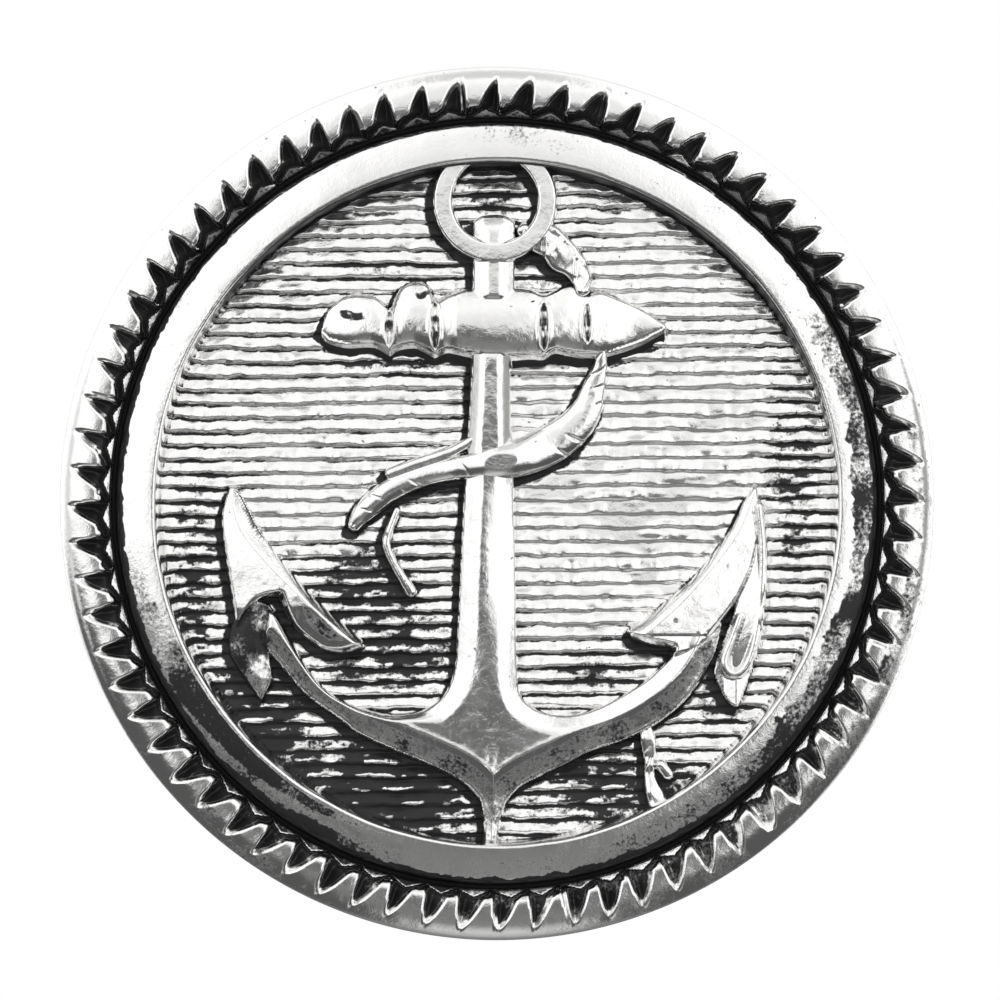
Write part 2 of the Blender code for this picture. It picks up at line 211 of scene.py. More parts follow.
def blobs(x, y, table):
    """The strongest of a table's soft patches, each given by its centre, half size and amount."""
    best = np.zeros(x.shape)
    for cx, cy, wide, tall, amount in table:
        off = (np.abs(x - cx) / wide) ** 2.5 + (np.abs(y - cy) / tall) ** 2.5
        best = np.maximum(best, amount * np.exp(-off))
    return best


# Where the ground is darker, partly patina and partly painted shade towards the bottom, under the stock and
# beside the knot; and where it is worn bright
PATINA_AND_SHADE_PATCHES = [
    (-3.6, -8.3, 4.2, 1.9, 0.86), (-3.0, -4.3, 2.4, 1.6, 0.68), (-8.6, -2.5, 0.9, 4.5, 0.62),
    (8.5, 0.5, 1.0, 3.8, 0.54), (2.6, -4.9, 1.5, 0.8, 0.56), (3.4, -8.2, 3.4, 1.5, 0.7),
    (-4.6, 2.1, 2.4, 0.8, 0.1), (-0.1, 8.8, 1.2, 1.1, 0.5), (6.4, -5.6, 1.0, 1.5, 0.54),
    (1.4, 6.45, 1.1, 0.45, 0.48), (-2.9, 6.7, 2.4, 0.35, 0.42), (-6.9, -6.1, 1.8, 2.0, 0.82),
    (-3.7, -2.4, 2.1, 1.5, 0.7), (2.0, 4.0, 2.0, 0.3, 0.42), (-2.9, 3.95, 2.2, 0.3, 0.6),
]
WORN = [
    (4.4, 0.2, 3.6, 3.4, 1.25), (-5.2, -0.2, 2.2, 1.4, 0.55), (4.6, 6.4, 2.4, 1.8, 0.35),
    (-5.0, 2.6, 2.6, 1.0, 0.35),
]


def rib_share(x, y):
    """Where a point lies between the lower edge of its rib (0) and of the next one (1)."""
    wander = 0.03 * noise(x, y, 1.3, 3) + 0.028 * noise(x, y, 0.45, 4) + 0.024 * noise(x, y, 0.17, 5)
    tilt = 0.012 * np.minimum(x, 0) + 0.0006 * x * x
    return ((y - RIB_PHASE - tilt + wander) / RIB_PITCH) % 1.0


def ground(x, y):
    """Height of the lined ground and how dark it is: patina in its lines and painted shade on each rib's
    step, which looks down.
    """
    share = rib_share(x, y)
    worn = 0.5 + 0.5 * noise(x, y, 1.1, 10) + blobs(x, y, WORN)
    bare = np.clip(worn - 0.7, 0, 1)
    broken = smoothstep(noise(0.55 * x, y, 0.42, 13), -0.35, 0.45)
    uneven = 0.3 * noise(x, y, 0.8, 6) + 0.25 * noise(x, y, 0.22, 7)
    depth = RIB_DEPTH * (1 + uneven - 0.3 * worn * (1 + 0.5 * broken))
    depth = np.maximum(depth, 0.03) * (1 + 0.4 * bare)
    # Each rib rises in a short step from its lower edge and falls away slowly to the next one
    step = 0.32 - 0.21 * bare * (0.5 + 0.5 * broken)
    rise = smoothstep(share, 0, step)
    fall = 1 - 0.9 * np.clip((share - step) / (1 - step), 0, 1) ** (1.2 - 0.2 * bare)
    height = FIELD_HEIGHT + dome(x, y) - RIB_DEPTH / 2 + depth * rise * fall
    height += (0.012 * noise(x, y, 0.34, 8) + 0.008 * noise(x, y, 0.13, 9)) * (1 - 0.75 * bare)
    # Patina stays in the line between two ribs; the step, which looks down, gets painted shade
    ragged = 1 + 0.6 * noise(x, y, 0.35, 11) + 0.45 * noise(x, y, 0.12, 12)
    breadth = np.maximum(0.085 * ragged * (1.15 - 0.45 * worn), 0.02)
    line = bell(np.minimum(share, 1 - share), 0, breadth)
    rubbed = 0.25 * worn * (0.4 + 1.2 * broken) + 0.4 * bare * broken
    slope = smoothstep(0.27 - share, 0.0, 0.2)
    return height, np.maximum(line * (1.05 - rubbed), 0.5 * slope * (1 - bare))


# The anchor's body in three runs: down the shank's right side and along the right arm, back along the
# undersides of the arms and crown, and up the left side. CORNERS are the points kept sharp.
RIGHT_SIDE = [
    (-0.66, 8.05), (-0.4, 8.22), (0.2, 8.22), (0.5, 8.05), (0.5, 6.2), (0.38, 3.96), (0.48, 0.0),
    (0.56, -3.9), (0.58, -5.0), (0.68, -5.52), (0.92, -5.8), (1.22, -5.97), (1.65, -6.08), (2.1, -6.09),
    (2.56, -6.0), (3.08, -5.8), (3.7, -5.46), (4.41, -4.99), (4.95, -4.45), (5.35, -3.95), (5.6, -3.4),
]
LOWER_SIDE = [
    (6.42, -3.4), (6.24, -4.2), (5.85, -4.95), (5.29, -5.7), (4.41, -6.38), (3.52, -6.78), (2.66, -7.06),
    (2.07, -7.38), (1.17, -7.8), (0.57, -8.15), (0.22, -8.6), (0.06, -9.2), (-0.02, -9.95), (-0.33, -9.95),
    (-0.35, -9.2), (-0.42, -8.6), (-0.62, -8.28), (-1.1, -7.86), (-1.82, -7.5), (-2.72, -7.12),
    (-3.92, -6.58), (-4.5, -6.13), (-5.37, -5.52), (-5.81, -5.05), (-6.68, -4.0),
]
LEFT_SIDE = [
    (-6.55, -3.1), (-6.3, -3.25), (-5.69, -4.33), (-5.0, -5.28), (-4.25, -5.76), (-3.56, -5.97),
    (-3.02, -6.05), (-2.42, -6.02), (-1.94, -5.86), (-1.52, -5.52), (-1.28, -5.05), (-1.17, -4.55),
    (-1.12, -3.9), (-0.94, 0.0), (-0.7, 3.96), (-0.68, 6.2),
]
CORNERS = [
    (-0.66, 8.05), (0.5, 8.05), (5.6, -3.4), (6.42, -3.4), (-0.02, -9.95), (-0.33, -9.95), (-6.68, -4.0),
    (-6.55, -3.1),
]
ANCHOR_BODY = spline([p for point in RIGHT_SIDE + LOWER_SIDE + LEFT_SIDE
                      for p in [point] * (2 if point in CORNERS else 1)], steps=3)
UNDERSIDE = spline(LOWER_SIDE, closed=False, steps=3)
LEFT_PALM = spline([
    (-7.62, 0.45), (-7.62, 0.45), (-7.38, 0.3), (-6.9, -0.62), (-6.2, -1.65), (-5.2, -2.75), (-4.1, -3.72),
    (-3.82, -3.95), (-3.86, -4.12), (-4.3, -4.25), (-4.87, -4.2), (-5.25, -3.98), (-5.72, -3.58),
    (-6.04, -3.08), (-6.22, -2.62), (-6.22, -2.62), (-6.81, -2.72), (-7.22, -3.14), (-7.42, -3.5),
    (-7.42, -3.5), (-7.62, -2.33), (-7.8, -1.1), (-7.84, -0.3),
], steps=4)
LEFT_RIDGE = [
    (-7.6, 0.42), (-7.48, -0.3), (-7.22, -0.9), (-6.7, -1.55), (-5.98, -2.3), (-5.16, -3.1),
    (-4.42, -3.78), (-3.9, -4.08),
]
LEFT_HEEL = spline([
    (-7.42, -3.2), (-6.95, -2.8), (-6.4, -3.05), (-6.55, -3.9), (-6.45, -4.75), (-6.42, -5.0),
    (-6.42, -5.0), (-6.75, -5.66), (-6.75, -5.66), (-7.1, -5.15), (-7.62, -4.3), (-7.62, -3.7),
], steps=3)
RIGHT_PALM = spline([
    (7.4, 0.45), (7.4, 0.45), (7.52, -0.3), (7.42, -1.1), (7.22, -1.95), (6.82, -2.8), (6.36, -3.45),
    (5.8, -4.1), (5.1, -4.4), (5.03, -4.12), (5.03, -4.12), (4.41, -4.02), (3.92, -3.86), (3.78, -3.7),
    (3.82, -3.56), (4.23, -3.36), (4.94, -2.76), (5.56, -2.22), (6.18, -1.52), (6.79, -0.64), (7.1, 0.05),
], steps=4)
RIGHT_RIDGE = [
    (7.38, 0.42), (6.98, -0.65), (6.44, -1.48), (5.47, -2.62), (4.85, -3.22), (4.2, -3.75), (3.8, -3.78),
]
RIGHT_HEEL = spline([
    (7.45, 0.1), (7.62, -0.3), (7.74, -1.1), (7.74, -2.0), (7.68, -2.87), (7.58, -3.75), (7.41, -4.4),
    (7.1, -5.3), (6.9, -5.82), (6.9, -5.82), (6.6, -5.66), (6.25, -5.0), (6.25, -4.6), (6.5, -3.9),
    (6.75, -3.2), (7.1, -1.9),
], steps=4)
# From here on, a row of a path is x, y, height of its middle above the field's edge, half width
RIGHT_LIP = [
    (7.5, -0.1, 0.44, 0.15), (7.6, -1.1, 0.42, 0.15), (7.6, -2.0, 0.38, 0.15), (7.54, -2.9, 0.36, 0.14),
    (7.42, -3.8, 0.36, 0.14), (7.22, -4.5, 0.36, 0.14), (6.95, -4.86, 0.36, 0.14), (6.62, -4.82, 0.36, 0.16),
    (6.52, -4.45, 0.36, 0.16), (6.74, -3.85, 0.36, 0.14), (6.96, -3.25, 0.36, 0.12),
]
# The stock's outline, in rows of x, upper edge and lower edge, and what lies on it
STOCK = spline([
    (-5.03, 5.0, 4.95), (-4.95, 5.32, 4.84), (-4.78, 5.62, 4.7), (-4.29, 5.96, 4.58), (-3.58, 5.96, 4.6),
    (-3.23, 5.74, 4.46), (-3.05, 5.62, 4.36), (-2.91, 5.98, 4.46), (-2.67, 6.27, 4.54), (-2.31, 6.38, 4.56),
    (-1.96, 6.28, 4.4), (-1.75, 5.86, 4.3), (-1.4, 6.0, 4.44), (-0.83, 6.18, 4.32), (-0.2, 6.2, 4.22),
    (0.44, 6.2, 4.22), (1.0, 6.14, 4.26), (1.32, 6.02, 4.24), (1.64, 6.12, 4.42), (1.99, 6.28, 4.36),
    (2.35, 6.22, 4.3), (2.6, 6.04, 4.3), (2.98, 6.1, 4.3), (3.47, 5.9, 4.42), (4.05, 5.62, 4.62),
    (4.4, 5.42, 4.8), (4.72, 5.22, 4.98), (4.84, 5.1, 5.06),
], closed=False, steps=5)
# Centre, half height and half width of the dark slots beside the stock's beads
STOCK_SLOTS = [
    (-3.08, 4.98, 0.5, 0.1), (-1.77, 5.06, 0.7, 0.11), (1.35, 5.06, 0.68, 0.12), (2.6, 5.16, 0.56, 0.09),
]
# Centre, half width and half height of its worn, stained spots
STOCK_PITS = [
    (-4.12, 5.4, 0.46, 0.2), (-2.14, 6.02, 0.26, 0.13), (1.02, 5.7, 0.12, 0.05), (-2.5, 5.2, 0.08, 0.06),
]
HOOP_CENTRE = (-0.05, 8.68)
HOOP_RADIUS, HOOP_HALF = 1.5, 0.27
ROPE = [
    (2.98, 4.3, 0.3, 0.17), (2.97, 3.95, 0.26, 0.19), (2.88, 3.62, 0.25, 0.26), (2.76, 3.25, 0.26, 0.34),
    (2.62, 2.78, 0.28, 0.42), (2.3, 2.28, 0.32, 0.5), (1.78, 1.84, 0.36, 0.56), (1.2, 1.52, 0.44, 0.56),
    (0.55, 1.28, 0.56, 0.53), (-0.05, 1.18, 0.62, 0.48), (-0.7, 1.08, 0.52, 0.38), (-1.35, 0.98, 0.36, 0.32),
    (-2.0, 0.82, 0.3, 0.3), (-2.6, 0.6, 0.28, 0.31), (-3.1, 0.36, 0.27, 0.33), (-3.55, 0.0, 0.26, 0.33),
    (-3.9, -0.34, 0.24, 0.28), (-4.08, -0.62, 0.2, 0.18),
]
STRAND = [
    (-0.72, 1.8, 0.42, 0.13), (-1.29, 1.48, 0.36, 0.14), (-2.16, 1.18, 0.32, 0.15),
    (-3.05, 0.86, 0.28, 0.15),
]
ROPE_END = [
    (-2.86, -0.2, 0.24, 0.1), (-3.06, -0.72, 0.26, 0.11), (-3.16, -1.15, 0.26, 0.12),
    (-2.97, -1.66, 0.26, 0.12), (-2.68, -2.16, 0.26, 0.14), (-2.46, -2.5, 0.22, 0.18),
]
KNOT = [
    (0.8, 7.8, 0.32, 0.22), (1.16, 7.6, 0.34, 0.4), (1.56, 7.34, 0.36, 0.36), (1.86, 7.02, 0.36, 0.42),
    (2.16, 6.74, 0.36, 0.28), (2.42, 6.44, 0.38, 0.3), (2.46, 6.14, 0.44, 0.2),
]
KNOT_LUMPS = [
    (1.35, 7.84, 0.3, 0.2), (1.62, 7.66, 0.3, 0.24), (2.12, 7.18, 0.32, 0.22), (2.4, 6.92, 0.28, 0.16),
]
ROPE_TAIL = [
    (4.28, -6.5, 0.24, 0.18), (4.34, -6.85, 0.3, 0.22), (4.36, -7.4, 0.22, 0.14), (4.4, -7.95, 0.24, 0.18),
    (4.54, -8.4, 0.3, 0.25), (4.66, -8.85, 0.3, 0.22),
]
TAIL_LUMP = [(4.7, -7.5, 0.26, 0.16), (4.9, -7.75, 0.24, 0.16)]
# Each length of rope with the length of one lay, the depth of its grooves and how full its back is
ROPES = [
    (ROPE, 0.52, 0.08, 0.85), (STRAND, 0.9, 0.0, 0.85), (ROPE_END, 0.55, 0.04, 0.85),
    (KNOT, 0.62, 0.16, 0.85), (KNOT_LUMPS, 0.3, 0.0, 0.7), (ROPE_TAIL, 0.45, 0.08, 0.5),
    (TAIL_LUMP, 0.3, 0.0, 0.85),
]
FIT = dict(closed=False, steps=4)
PALM_EDGE = 0.32  # height of the palms' edges
HEEL_HEIGHT = 0.16  # height of the left heel's edge
HEAD_FROM = 5.6  # above this y the anchor's surface sinks towards the raised ring


def walled(shape, edge, foot, slope=WALL):
    """The shape inside an outline, and walls that fall away below its foot's height outside it."""
    return np.where(edge > 0, shape, foot + edge * slope)


def anchor_body(x, y):
    """Shank, arms and crown: their height, the distance inside them and painted shade for the arms' lower
    band, which looks down.
    """
    edge = inside_distance(x, y, ANCHOR_BODY)
    under, _, _, _ = along(x, y, UNDERSIDE)
    spine = -0.19 - 0.26 * smoothstep(-y, -1.7, -0.3) + 0.2 * smoothstep(-y, 2.2, 4.5)
    bow = 0.13 - 0.05 * smoothstep(y, 0.8, 1.9) + 0.26 * bell(y, -1.6, 1.5)
    round_back = bow * np.clip(np.abs(x - spine), 0, 0.8) ** 2 * smoothstep(y, -5.6, -4.6)
    ridge = 0.64 - 0.05 * smoothstep(y, 2.0, 6.0) - round_back - 0.24 * bell(y, 5.1, 0.74, 8)
    shank_sides = 0.24 * smoothstep(y, 0.6, 1.6) * smoothstep(-y, -5.4, -4.6)
    steep = 0.66 + 1.24 * smoothstep(-x, 1.5, 2.8) + shank_sides
    upper = smooth_min(0.36 + steep * edge, ridge, 0.1)
    lower = 0.28 + 0.5 * under
    bead = 0.022 * bell(upper - lower, 0, 0.05) * (under < 1.2)
    rim = 0.03 * bell(under, 0.06, 0.05)
    keel = 0.03 * bell(x, -0.17, 0.17) * smoothstep(-y, 6.6, 7.6)
    shape = smooth_min(upper, lower, 0.04) + bead + rim + keel
    shade = smoothstep(upper - lower, -0.01, 0.05) * smoothstep(0.62 - under, -0.05, 0.1) * (edge > 0)
    return walled(shape, edge, 0.34), edge, shade


def palm(x, y, outline, ridge):
    """Distance inside a fluke's palm and to its ridge, side of it, run along it and how far across in x."""
    edge = inside_distance(x, y, outline)
    line = spline(ridge, **FIT)
    far, side, run, _ = along(x, y, line)
    order = np.argsort(line[:, 1])
    across = x - np.interp(y, line[order, 1], line[order, 0])
    return edge, far, side, run, across


def hemmed(shape, edge):
    """A palm that rises steeply from its edge."""
    return smooth_min(shape, PALM_EDGE + 2.2 * edge, 0.05)


def left_fluke(x, y):
    """Heights of the left palm and heel and the distances inside them."""
    edge, far, side, run, across = palm(x, y, LEFT_PALM, LEFT_RIDGE)
    crest = 0.31 + 0.13 * np.clip(0.42 - y, 0, 3.4)
    lobe = smoothstep(run + 0.35 * across, 3.3, 4.1)
    blade = crest - 0.16 * np.clip(-across, 0, None) * (1 - lobe) - 0.34 * far * lobe
    blade += 0.012 * noise(x, y, 0.3, 19) * lobe
    shape = np.where(side > 0, crest - 0.85 * far, blade)
    shape = hemmed(shape, edge) + 0.02 * bell(edge, 0.07, 0.05) * lobe
    heel = inside_distance(x, y, LEFT_HEEL)
    pit = 0.1 * bell(x, -6.95, 0.22) * bell(y, -4.55, 0.25)
    barb = HEEL_HEIGHT + 0.5 * np.minimum(heel, 0.36) - pit
    return walled(shape, edge, PALM_EDGE), walled(barb, heel, HEEL_HEIGHT), edge, heel


def right_fluke(x, y):
    """Heights of the right palm and heel and the distances inside them."""
    edge, far, side, _, across = palm(x, y, RIGHT_PALM, RIGHT_RIDGE)
    crest = 0.31 + 0.112 * np.clip(0.42 - y, 0, 4.2)
    shape = np.where(side < 0, crest - 0.85 * far, crest - 0.15 * np.clip(across, 0, None))
    heel = inside_distance(x, y, RIGHT_HEEL)
    hollow = 0.2 + 0.24 * np.clip(x - 6.2 - 0.22 * (y + 5.0), 0, 1.0) * smoothstep(y, -5.0, -3.0)
    toe = 0.34 * smoothstep(-y, 4.6, 5.0) * (1 - 0.8 * np.clip(np.abs(x - 6.85), 0, 0.6))
    floor = walled(np.maximum(hollow, toe), heel, 0.12)
    lip, _, _, (middle, half) = along(x, y, spline(RIGHT_LIP, **FIT), 0.8)
    rod = middle - 0.9 * half + 1.3 * np.sqrt(np.clip(half**2 - lip**2, 0, None))
    shape = walled(hemmed(shape, edge), edge, PALM_EDGE)
    return shape, np.maximum(floor, np.where(lip < half, rod, NOTHING)), edge, heel


def stock(x, y):
    """The stock's height, the distance inside it and its patina."""
    left, right = STOCK[0, 0], STOCK[-1, 0]
    upper = np.interp(x, STOCK[:, 0], STOCK[:, 1])
    lower = np.interp(x, STOCK[:, 0], STOCK[:, 2])
    crest = lower + 0.34 * (upper - lower)
    room = np.where(y > crest, upper - crest, crest - lower)
    across = (y - crest) / np.maximum(room, 0.03)
    girth = (upper - lower) / 1.7
    full = 0.22 + 0.5 * np.clip(girth, 0.05, 1.0) ** 0.6 - 0.021 * (x + 0.6) ** 2
    full = smooth_max(full, 0.26, 0.15)
    round_top = np.where(across > 0, 1 - 0.55 * np.abs(across) ** 2.2, 1 - 0.26 * np.abs(across) ** 2.6)
    side_wall = np.clip((1 - np.abs(across)) / 0.1, 0, 1) ** 0.6
    shape = full * np.maximum(round_top, 0) * (0.35 + 0.65 * side_wall)
    skirt = np.clip(lower - 0.02 - y, 0, None)
    shape = np.where(across < -0.95, np.maximum(shape, 0.3 - skirt), shape)
    shape = np.where((x > left) & (x < right) & (across < 1) & (skirt < 0.5), shape, NOTHING)
    edge = np.minimum.reduce([upper - y, y - lower, x - left, right - x])
    darkening = np.zeros(x.shape)
    for cx, cy, tall, wide in STOCK_SLOTS:
        reach = np.sqrt(np.clip(1 - ((y - cy) / tall) ** 2, 0, 1))
        off = np.abs(x - cx)
        ragged = 1 + 0.25 * noise(x, y, 0.18, 15)
        slot = bell(off, 0, np.maximum(wide * reach * ragged, 0.02), 4) * (reach > 0)
        lips = bell(off - 0.15 * reach, 0.02, 0.045) * (reach > 0.1)
        shape = shape - 0.13 * slot + 0.035 * lips
        darkening = np.maximum(darkening, slot * (0.6 + 0.3 * noise(x, y, 0.15, 16)))
    for cx, cy, wide, tall in STOCK_PITS:
        off = ((x - cx) / wide) ** 2 + ((y - cy - 0.1 * noise(x, y, 0.3, 21)) / tall) ** 2
        off = off * (1 + 0.8 * noise(x, y, 0.2, 18))
        darkening = np.maximum(darkening, (0.66 + 0.25 * noise(x, y, 0.09, 19)) * bell(off, 0, 1))
    return shape, edge, darkening


def hoop(x, y):
    """The ring through the head of the shank: its height and the distance inside it."""
    far = np.hypot(x - HOOP_CENTRE[0], y - HOOP_CENTRE[1])
    edge = HOOP_HALF - np.abs(far - HOOP_RADIUS)
    shape = smooth_min(0.52 + 2.4 * edge, 0.61, 0.03) + 0.02 * np.clip(edge, 0, 0.3)
    return walled(shape, edge, 0.52, 9.0), edge


def twist(x, y, path, lay, depth, fullness):
    """One length of rope: its height, the distance inside it and where its grooves are."""
    far, side, run, (middle, half) = along(x, y, spline(path, **FIT))
    across = np.clip(far / half, 0, 1) * side
    foot = middle - half * 0.45
    fullness = fullness * (1 - 0.42 * smoothstep(x, 0.5, 1.5) * (y > 0))
    strands = np.abs(np.sin(np.pi * (run / lay + 0.42 * across)))
    plain = smoothstep(x, -1.2, -0.6) * smoothstep(-x, -2.2, -1.6) * (y < 5)
    worn_off = smoothstep(0.45 + 0.8 * noise(x, y, 0.7, 17), 0.0, 0.5) * (1 - plain)
    groove = bell(strands, 0, 0.2) * worn_off
    back = half * fullness * np.clip(1 - np.abs(across) ** 2.2, 0, 1) ** 0.5
    shape = foot + back - depth * groove * half / 0.4
    return walled(shape, half - far, foot), half - far, groove


def rope(x, y):
    """Height of all the rope, the distance inside it and how deep its grooves' patina is."""
    best, edge, cut = np.full(x.shape, NOTHING), np.full(x.shape, -FAR), np.zeros(x.shape)
    for path, lay, depth, fullness in ROPES:
        shape, inside, groove = twist(x, y, path, lay, depth, fullness)
        higher = shape > best
        cut = np.where(higher, groove * (depth > 0), cut)
        best = np.where(higher, shape, best)
        edge = np.maximum(edge, inside)
    return best, edge, cut


def anchor(x, y):
    """Height of the anchor above the field's edge, distance inside its outline, and how dark it is: patina
    in the stock's slots and pits and on the heels, painted shade on the left palm's lobe and the arms' lower
    band.
    """
    body, body_edge, body_shade = anchor_body(x, y)
    palm_l, heel_l, palm_l_edge, heel_l_edge = left_fluke(x, y)
    palm_r, heel_r, palm_r_edge, heel_r_edge = right_fluke(x, y)
    bar, bar_edge, slots = stock(x, y)
    loop, loop_edge = hoop(x, y)
    shape = smooth_max(body, palm_r, 0.1)
    for piece, blend in ((palm_l, 0.02), (heel_l, 0.02), (heel_r, 0.02), (bar, 0.03), (loop, 0.04)):
        shape = smooth_max(shape, piece, blend)
    shape = shape - 0.055 * np.clip(y - HEAD_FROM, 0, None)
    edge = np.maximum.reduce([body_edge, palm_l_edge, heel_l_edge, palm_r_edge, heel_r_edge, bar_edge,
                              loop_edge])
    heel = np.maximum(smoothstep(heel_l_edge, -0.02, 0.05) * (palm_l_edge < 0.05) * (body_edge < 0.05),
                      smoothstep(heel_r_edge, -0.02, 0.05) * (palm_r_edge < 0) * (heel_r < 0.25))
    # Painted shade on the left palm's lobe, which looks down and left, and on the arms' lower band, which
    # looks down
    lobe = smoothstep(palm_l_edge, 0.16, 0.36) * smoothstep(x, -5.9, -5.4)
    arms = body_shade * (palm_l_edge < 0) * (palm_r_edge < 0)
    cloud = noise(x, y, 0.6, 20)
    patina_and_shade = np.maximum.reduce([slots * (bar > 0.2), (0.44 + 0.16 * (x < 0)) * heel * (1 + 0.25 * cloud),
                                0.53 * lobe * (1 + 0.25 * cloud), 0.52 * arms * (1 + 0.12 * cloud)])
    return shape, edge, patina_and_shade


def shade_side(height, xs, ys):
    """1 on walls that look down or left, which get painted shade, and 0 on walls that look up or right."""
    gx, gy = np.gradient(height, xs, ys)
    steep = np.hypot(gx, gy)
    return smoothstep((0.45 * gx + 0.9 * gy) / np.maximum(steep, 0.3), -0.55, 0.35)


# ------------------------------ meshes

def new_object(name, points, faces, material, darkening=None):
    """A smooth-shaded object from points of the button's frame, with how dark it is at each: patina, and on
    some pieces painted shade.
    """
    mesh = bpy.data.meshes.new(name)
    mesh.from_pydata(to_world(points).tolist(), [], [tuple(f) for f in faces])
    if darkening is not None:
        layer = mesh.attributes.new("darkening", "FLOAT", "POINT")
        layer.data.foreach_set("value", np.asarray(darkening, np.float32))
    mesh.materials.append(material)
    mesh.shade_smooth()
    mesh.update()
    obj = bpy.data.objects.new(name, mesh)
    bpy.context.scene.collection.objects.link(obj)
    return obj


def slab(name, xs, ys, height, keep, floor, material, darkening):
    """The kept cells of a height map as a closed body standing on floor."""
    nx, ny = len(xs), len(ys)
    number = np.arange(nx * ny).reshape(nx, ny)
    cells = keep[:-1, :-1] & keep[1:, :-1] & keep[1:, 1:] & keep[:-1, 1:]
    i, j = np.nonzero(cells)
    quads = np.stack([number[i, j], number[i + 1, j], number[i + 1, j + 1], number[i, j + 1]], axis=1)
    used, quads = np.unique(quads, return_inverse=True)
    quads = quads.reshape(-1, 4)
    x, y = np.meshgrid(xs, ys, indexing="ij")
    top = np.stack([x.ravel()[used], y.ravel()[used], height.ravel()[used]], axis=1)
    # The border's edges are those that no neighbouring cell runs the other way
    edges = np.concatenate([quads[:, [k, (k + 1) % 4]] for k in range(4)])
    keys = set(map(tuple, edges.tolist()))
    border = np.array([e for e in keys if (e[1], e[0]) not in keys])
    corners = np.unique(border)
    below = {int(c): len(top) + k for k, c in enumerate(corners)}
    foot = top[corners].copy()
    foot[:, 2] = floor
    middle = [[top[:, 0].mean(), top[:, 1].mean(), floor]]
    centre = len(top) + len(corners)
    faces = quads.tolist()
    for a, b in border.tolist():
        faces += [(b, a, below[a], below[b]), (below[b], below[a], centre)]
    darkening = np.concatenate([darkening.ravel()[used], np.ones(len(corners) + 1)])
    return new_object(name, np.concatenate([top, foot, middle]), faces, material, darkening)


def bands(rings, sides, closed):
    """Faces between each ring of points and the next one."""
    m = np.arange(sides)
    n = (m + 1) % sides
    faces = []
    for k in range(rings if closed else rings - 1):
        a, b = k * sides, (k + 1) % rings * sides
        faces += np.stack([a + m, b + m, b + n, a + n], axis=1).tolist()
    return faces


def turned(name, profile, steps, material, darkening=None, shape=None):
    """A closed (radius, height) profile, listed so that its outer side runs down, turned about the axis."""
    p = np.asarray(profile, float)
    turns = 2 * math.pi * np.arange(steps) / steps
    r, t = np.meshgrid(p[:, 0], turns, indexing="ij")
    h = np.repeat(p[:, 1][:, None], steps, axis=1)
    if shape is not None:
        r, h = shape(r, t, h)
    x, y = flat(r, t)
    points = np.stack([x.ravel(), y.ravel(), h.ravel()], axis=1)
    dark = darkening(r, t, h).ravel() if darkening else None
    return new_object(name, points, bands(len(p), steps, True), material, dark)


def rounded(profile, size, steps=4):
    """The closed profile with every corner rounded by up to size."""
    p = np.asarray(profile, float)
    out = []
    for k in range(len(p)):
        before, here, after = p[k - 1], p[k], p[(k + 1) % len(p)]
        back, on = before - here, after - here
        reach = min(size, 0.45 * np.linalg.norm(back), 0.45 * np.linalg.norm(on))
        a = here + back / np.linalg.norm(back) * reach
        b = here + on / np.linalg.norm(on) * reach
        for s in range(steps + 1):
            t = s / steps
            out.append(a * (1 - t) ** 2 + here * 2 * t * (1 - t) + b * t * t)
    return out


# ------------------------------ materials

def new_material(name):
    material = bpy.data.materials.new(name)
    material.use_nodes = True
    tree = material.node_tree
    return material, tree, tree.nodes["Principled BSDF"]


def feed(tree, node, inputs):
    """Give each of these inputs its value, or link it to the socket given for it."""
    for key, value in inputs.items():
        if isinstance(value, bpy.types.NodeSocket):
            tree.links.new(value, node.inputs[key])
        else:
            node.inputs[key].default_value = value


def add(tree, kind, inputs, output=0, **settings):
    """The output of a new node with these inputs and settings."""
    node = tree.nodes.new(kind)
    for key, value in settings.items():
        setattr(node, key, value)
    feed(tree, node, inputs)
    return node.outputs[output]


def noise_node(tree, place, scale, detail, roughness=0.6):
    return add(tree, "ShaderNodeTexNoise",
               {"Vector": place, "Scale": scale, "Detail": detail, "Roughness": roughness}, "Fac")


def math_node(tree, operation, a, b=0.0):
    return add(tree, "ShaderNodeMath", {0: a, 1: b}, operation=operation)


def remap(tree, value, low, high, to_low=0.0, to_high=1.0, kind="SMOOTHSTEP"):
    limits = {"From Min": low, "From Max": high, "To Min": to_low, "To Max": to_high}
    return add(tree, "ShaderNodeMapRange", {"Value": value, **limits}, interpolation_type=kind)


def mix_colour(tree, share, a, b):
    """Colour a where the share is 0 and b where it is 1; 6, 7 and 2 are the Mix node's colour sockets."""
    return add(tree, "ShaderNodeMix", {0: share, 6: a, 7: b}, 2, data_type="RGBA")


def object_place(tree):
    return add(tree, "ShaderNodeTexCoord", {}, "Object")


def bump(tree, height, strength, distance):
    return add(tree, "ShaderNodeBump", {"Height": height, "Strength": strength, "Distance": distance})


def grey(level):
    return (level, level, level, 1)


def darker(colour, share):
    return tuple(c * share for c in colour[:3]) + (1.0,)


# Black for the patina, and for the painted shade
BLACK_FOR_PATINA_AND_SHADE = (0.026, 0.026, 0.027, 1.0)
FINE_BUMP = 0.00002


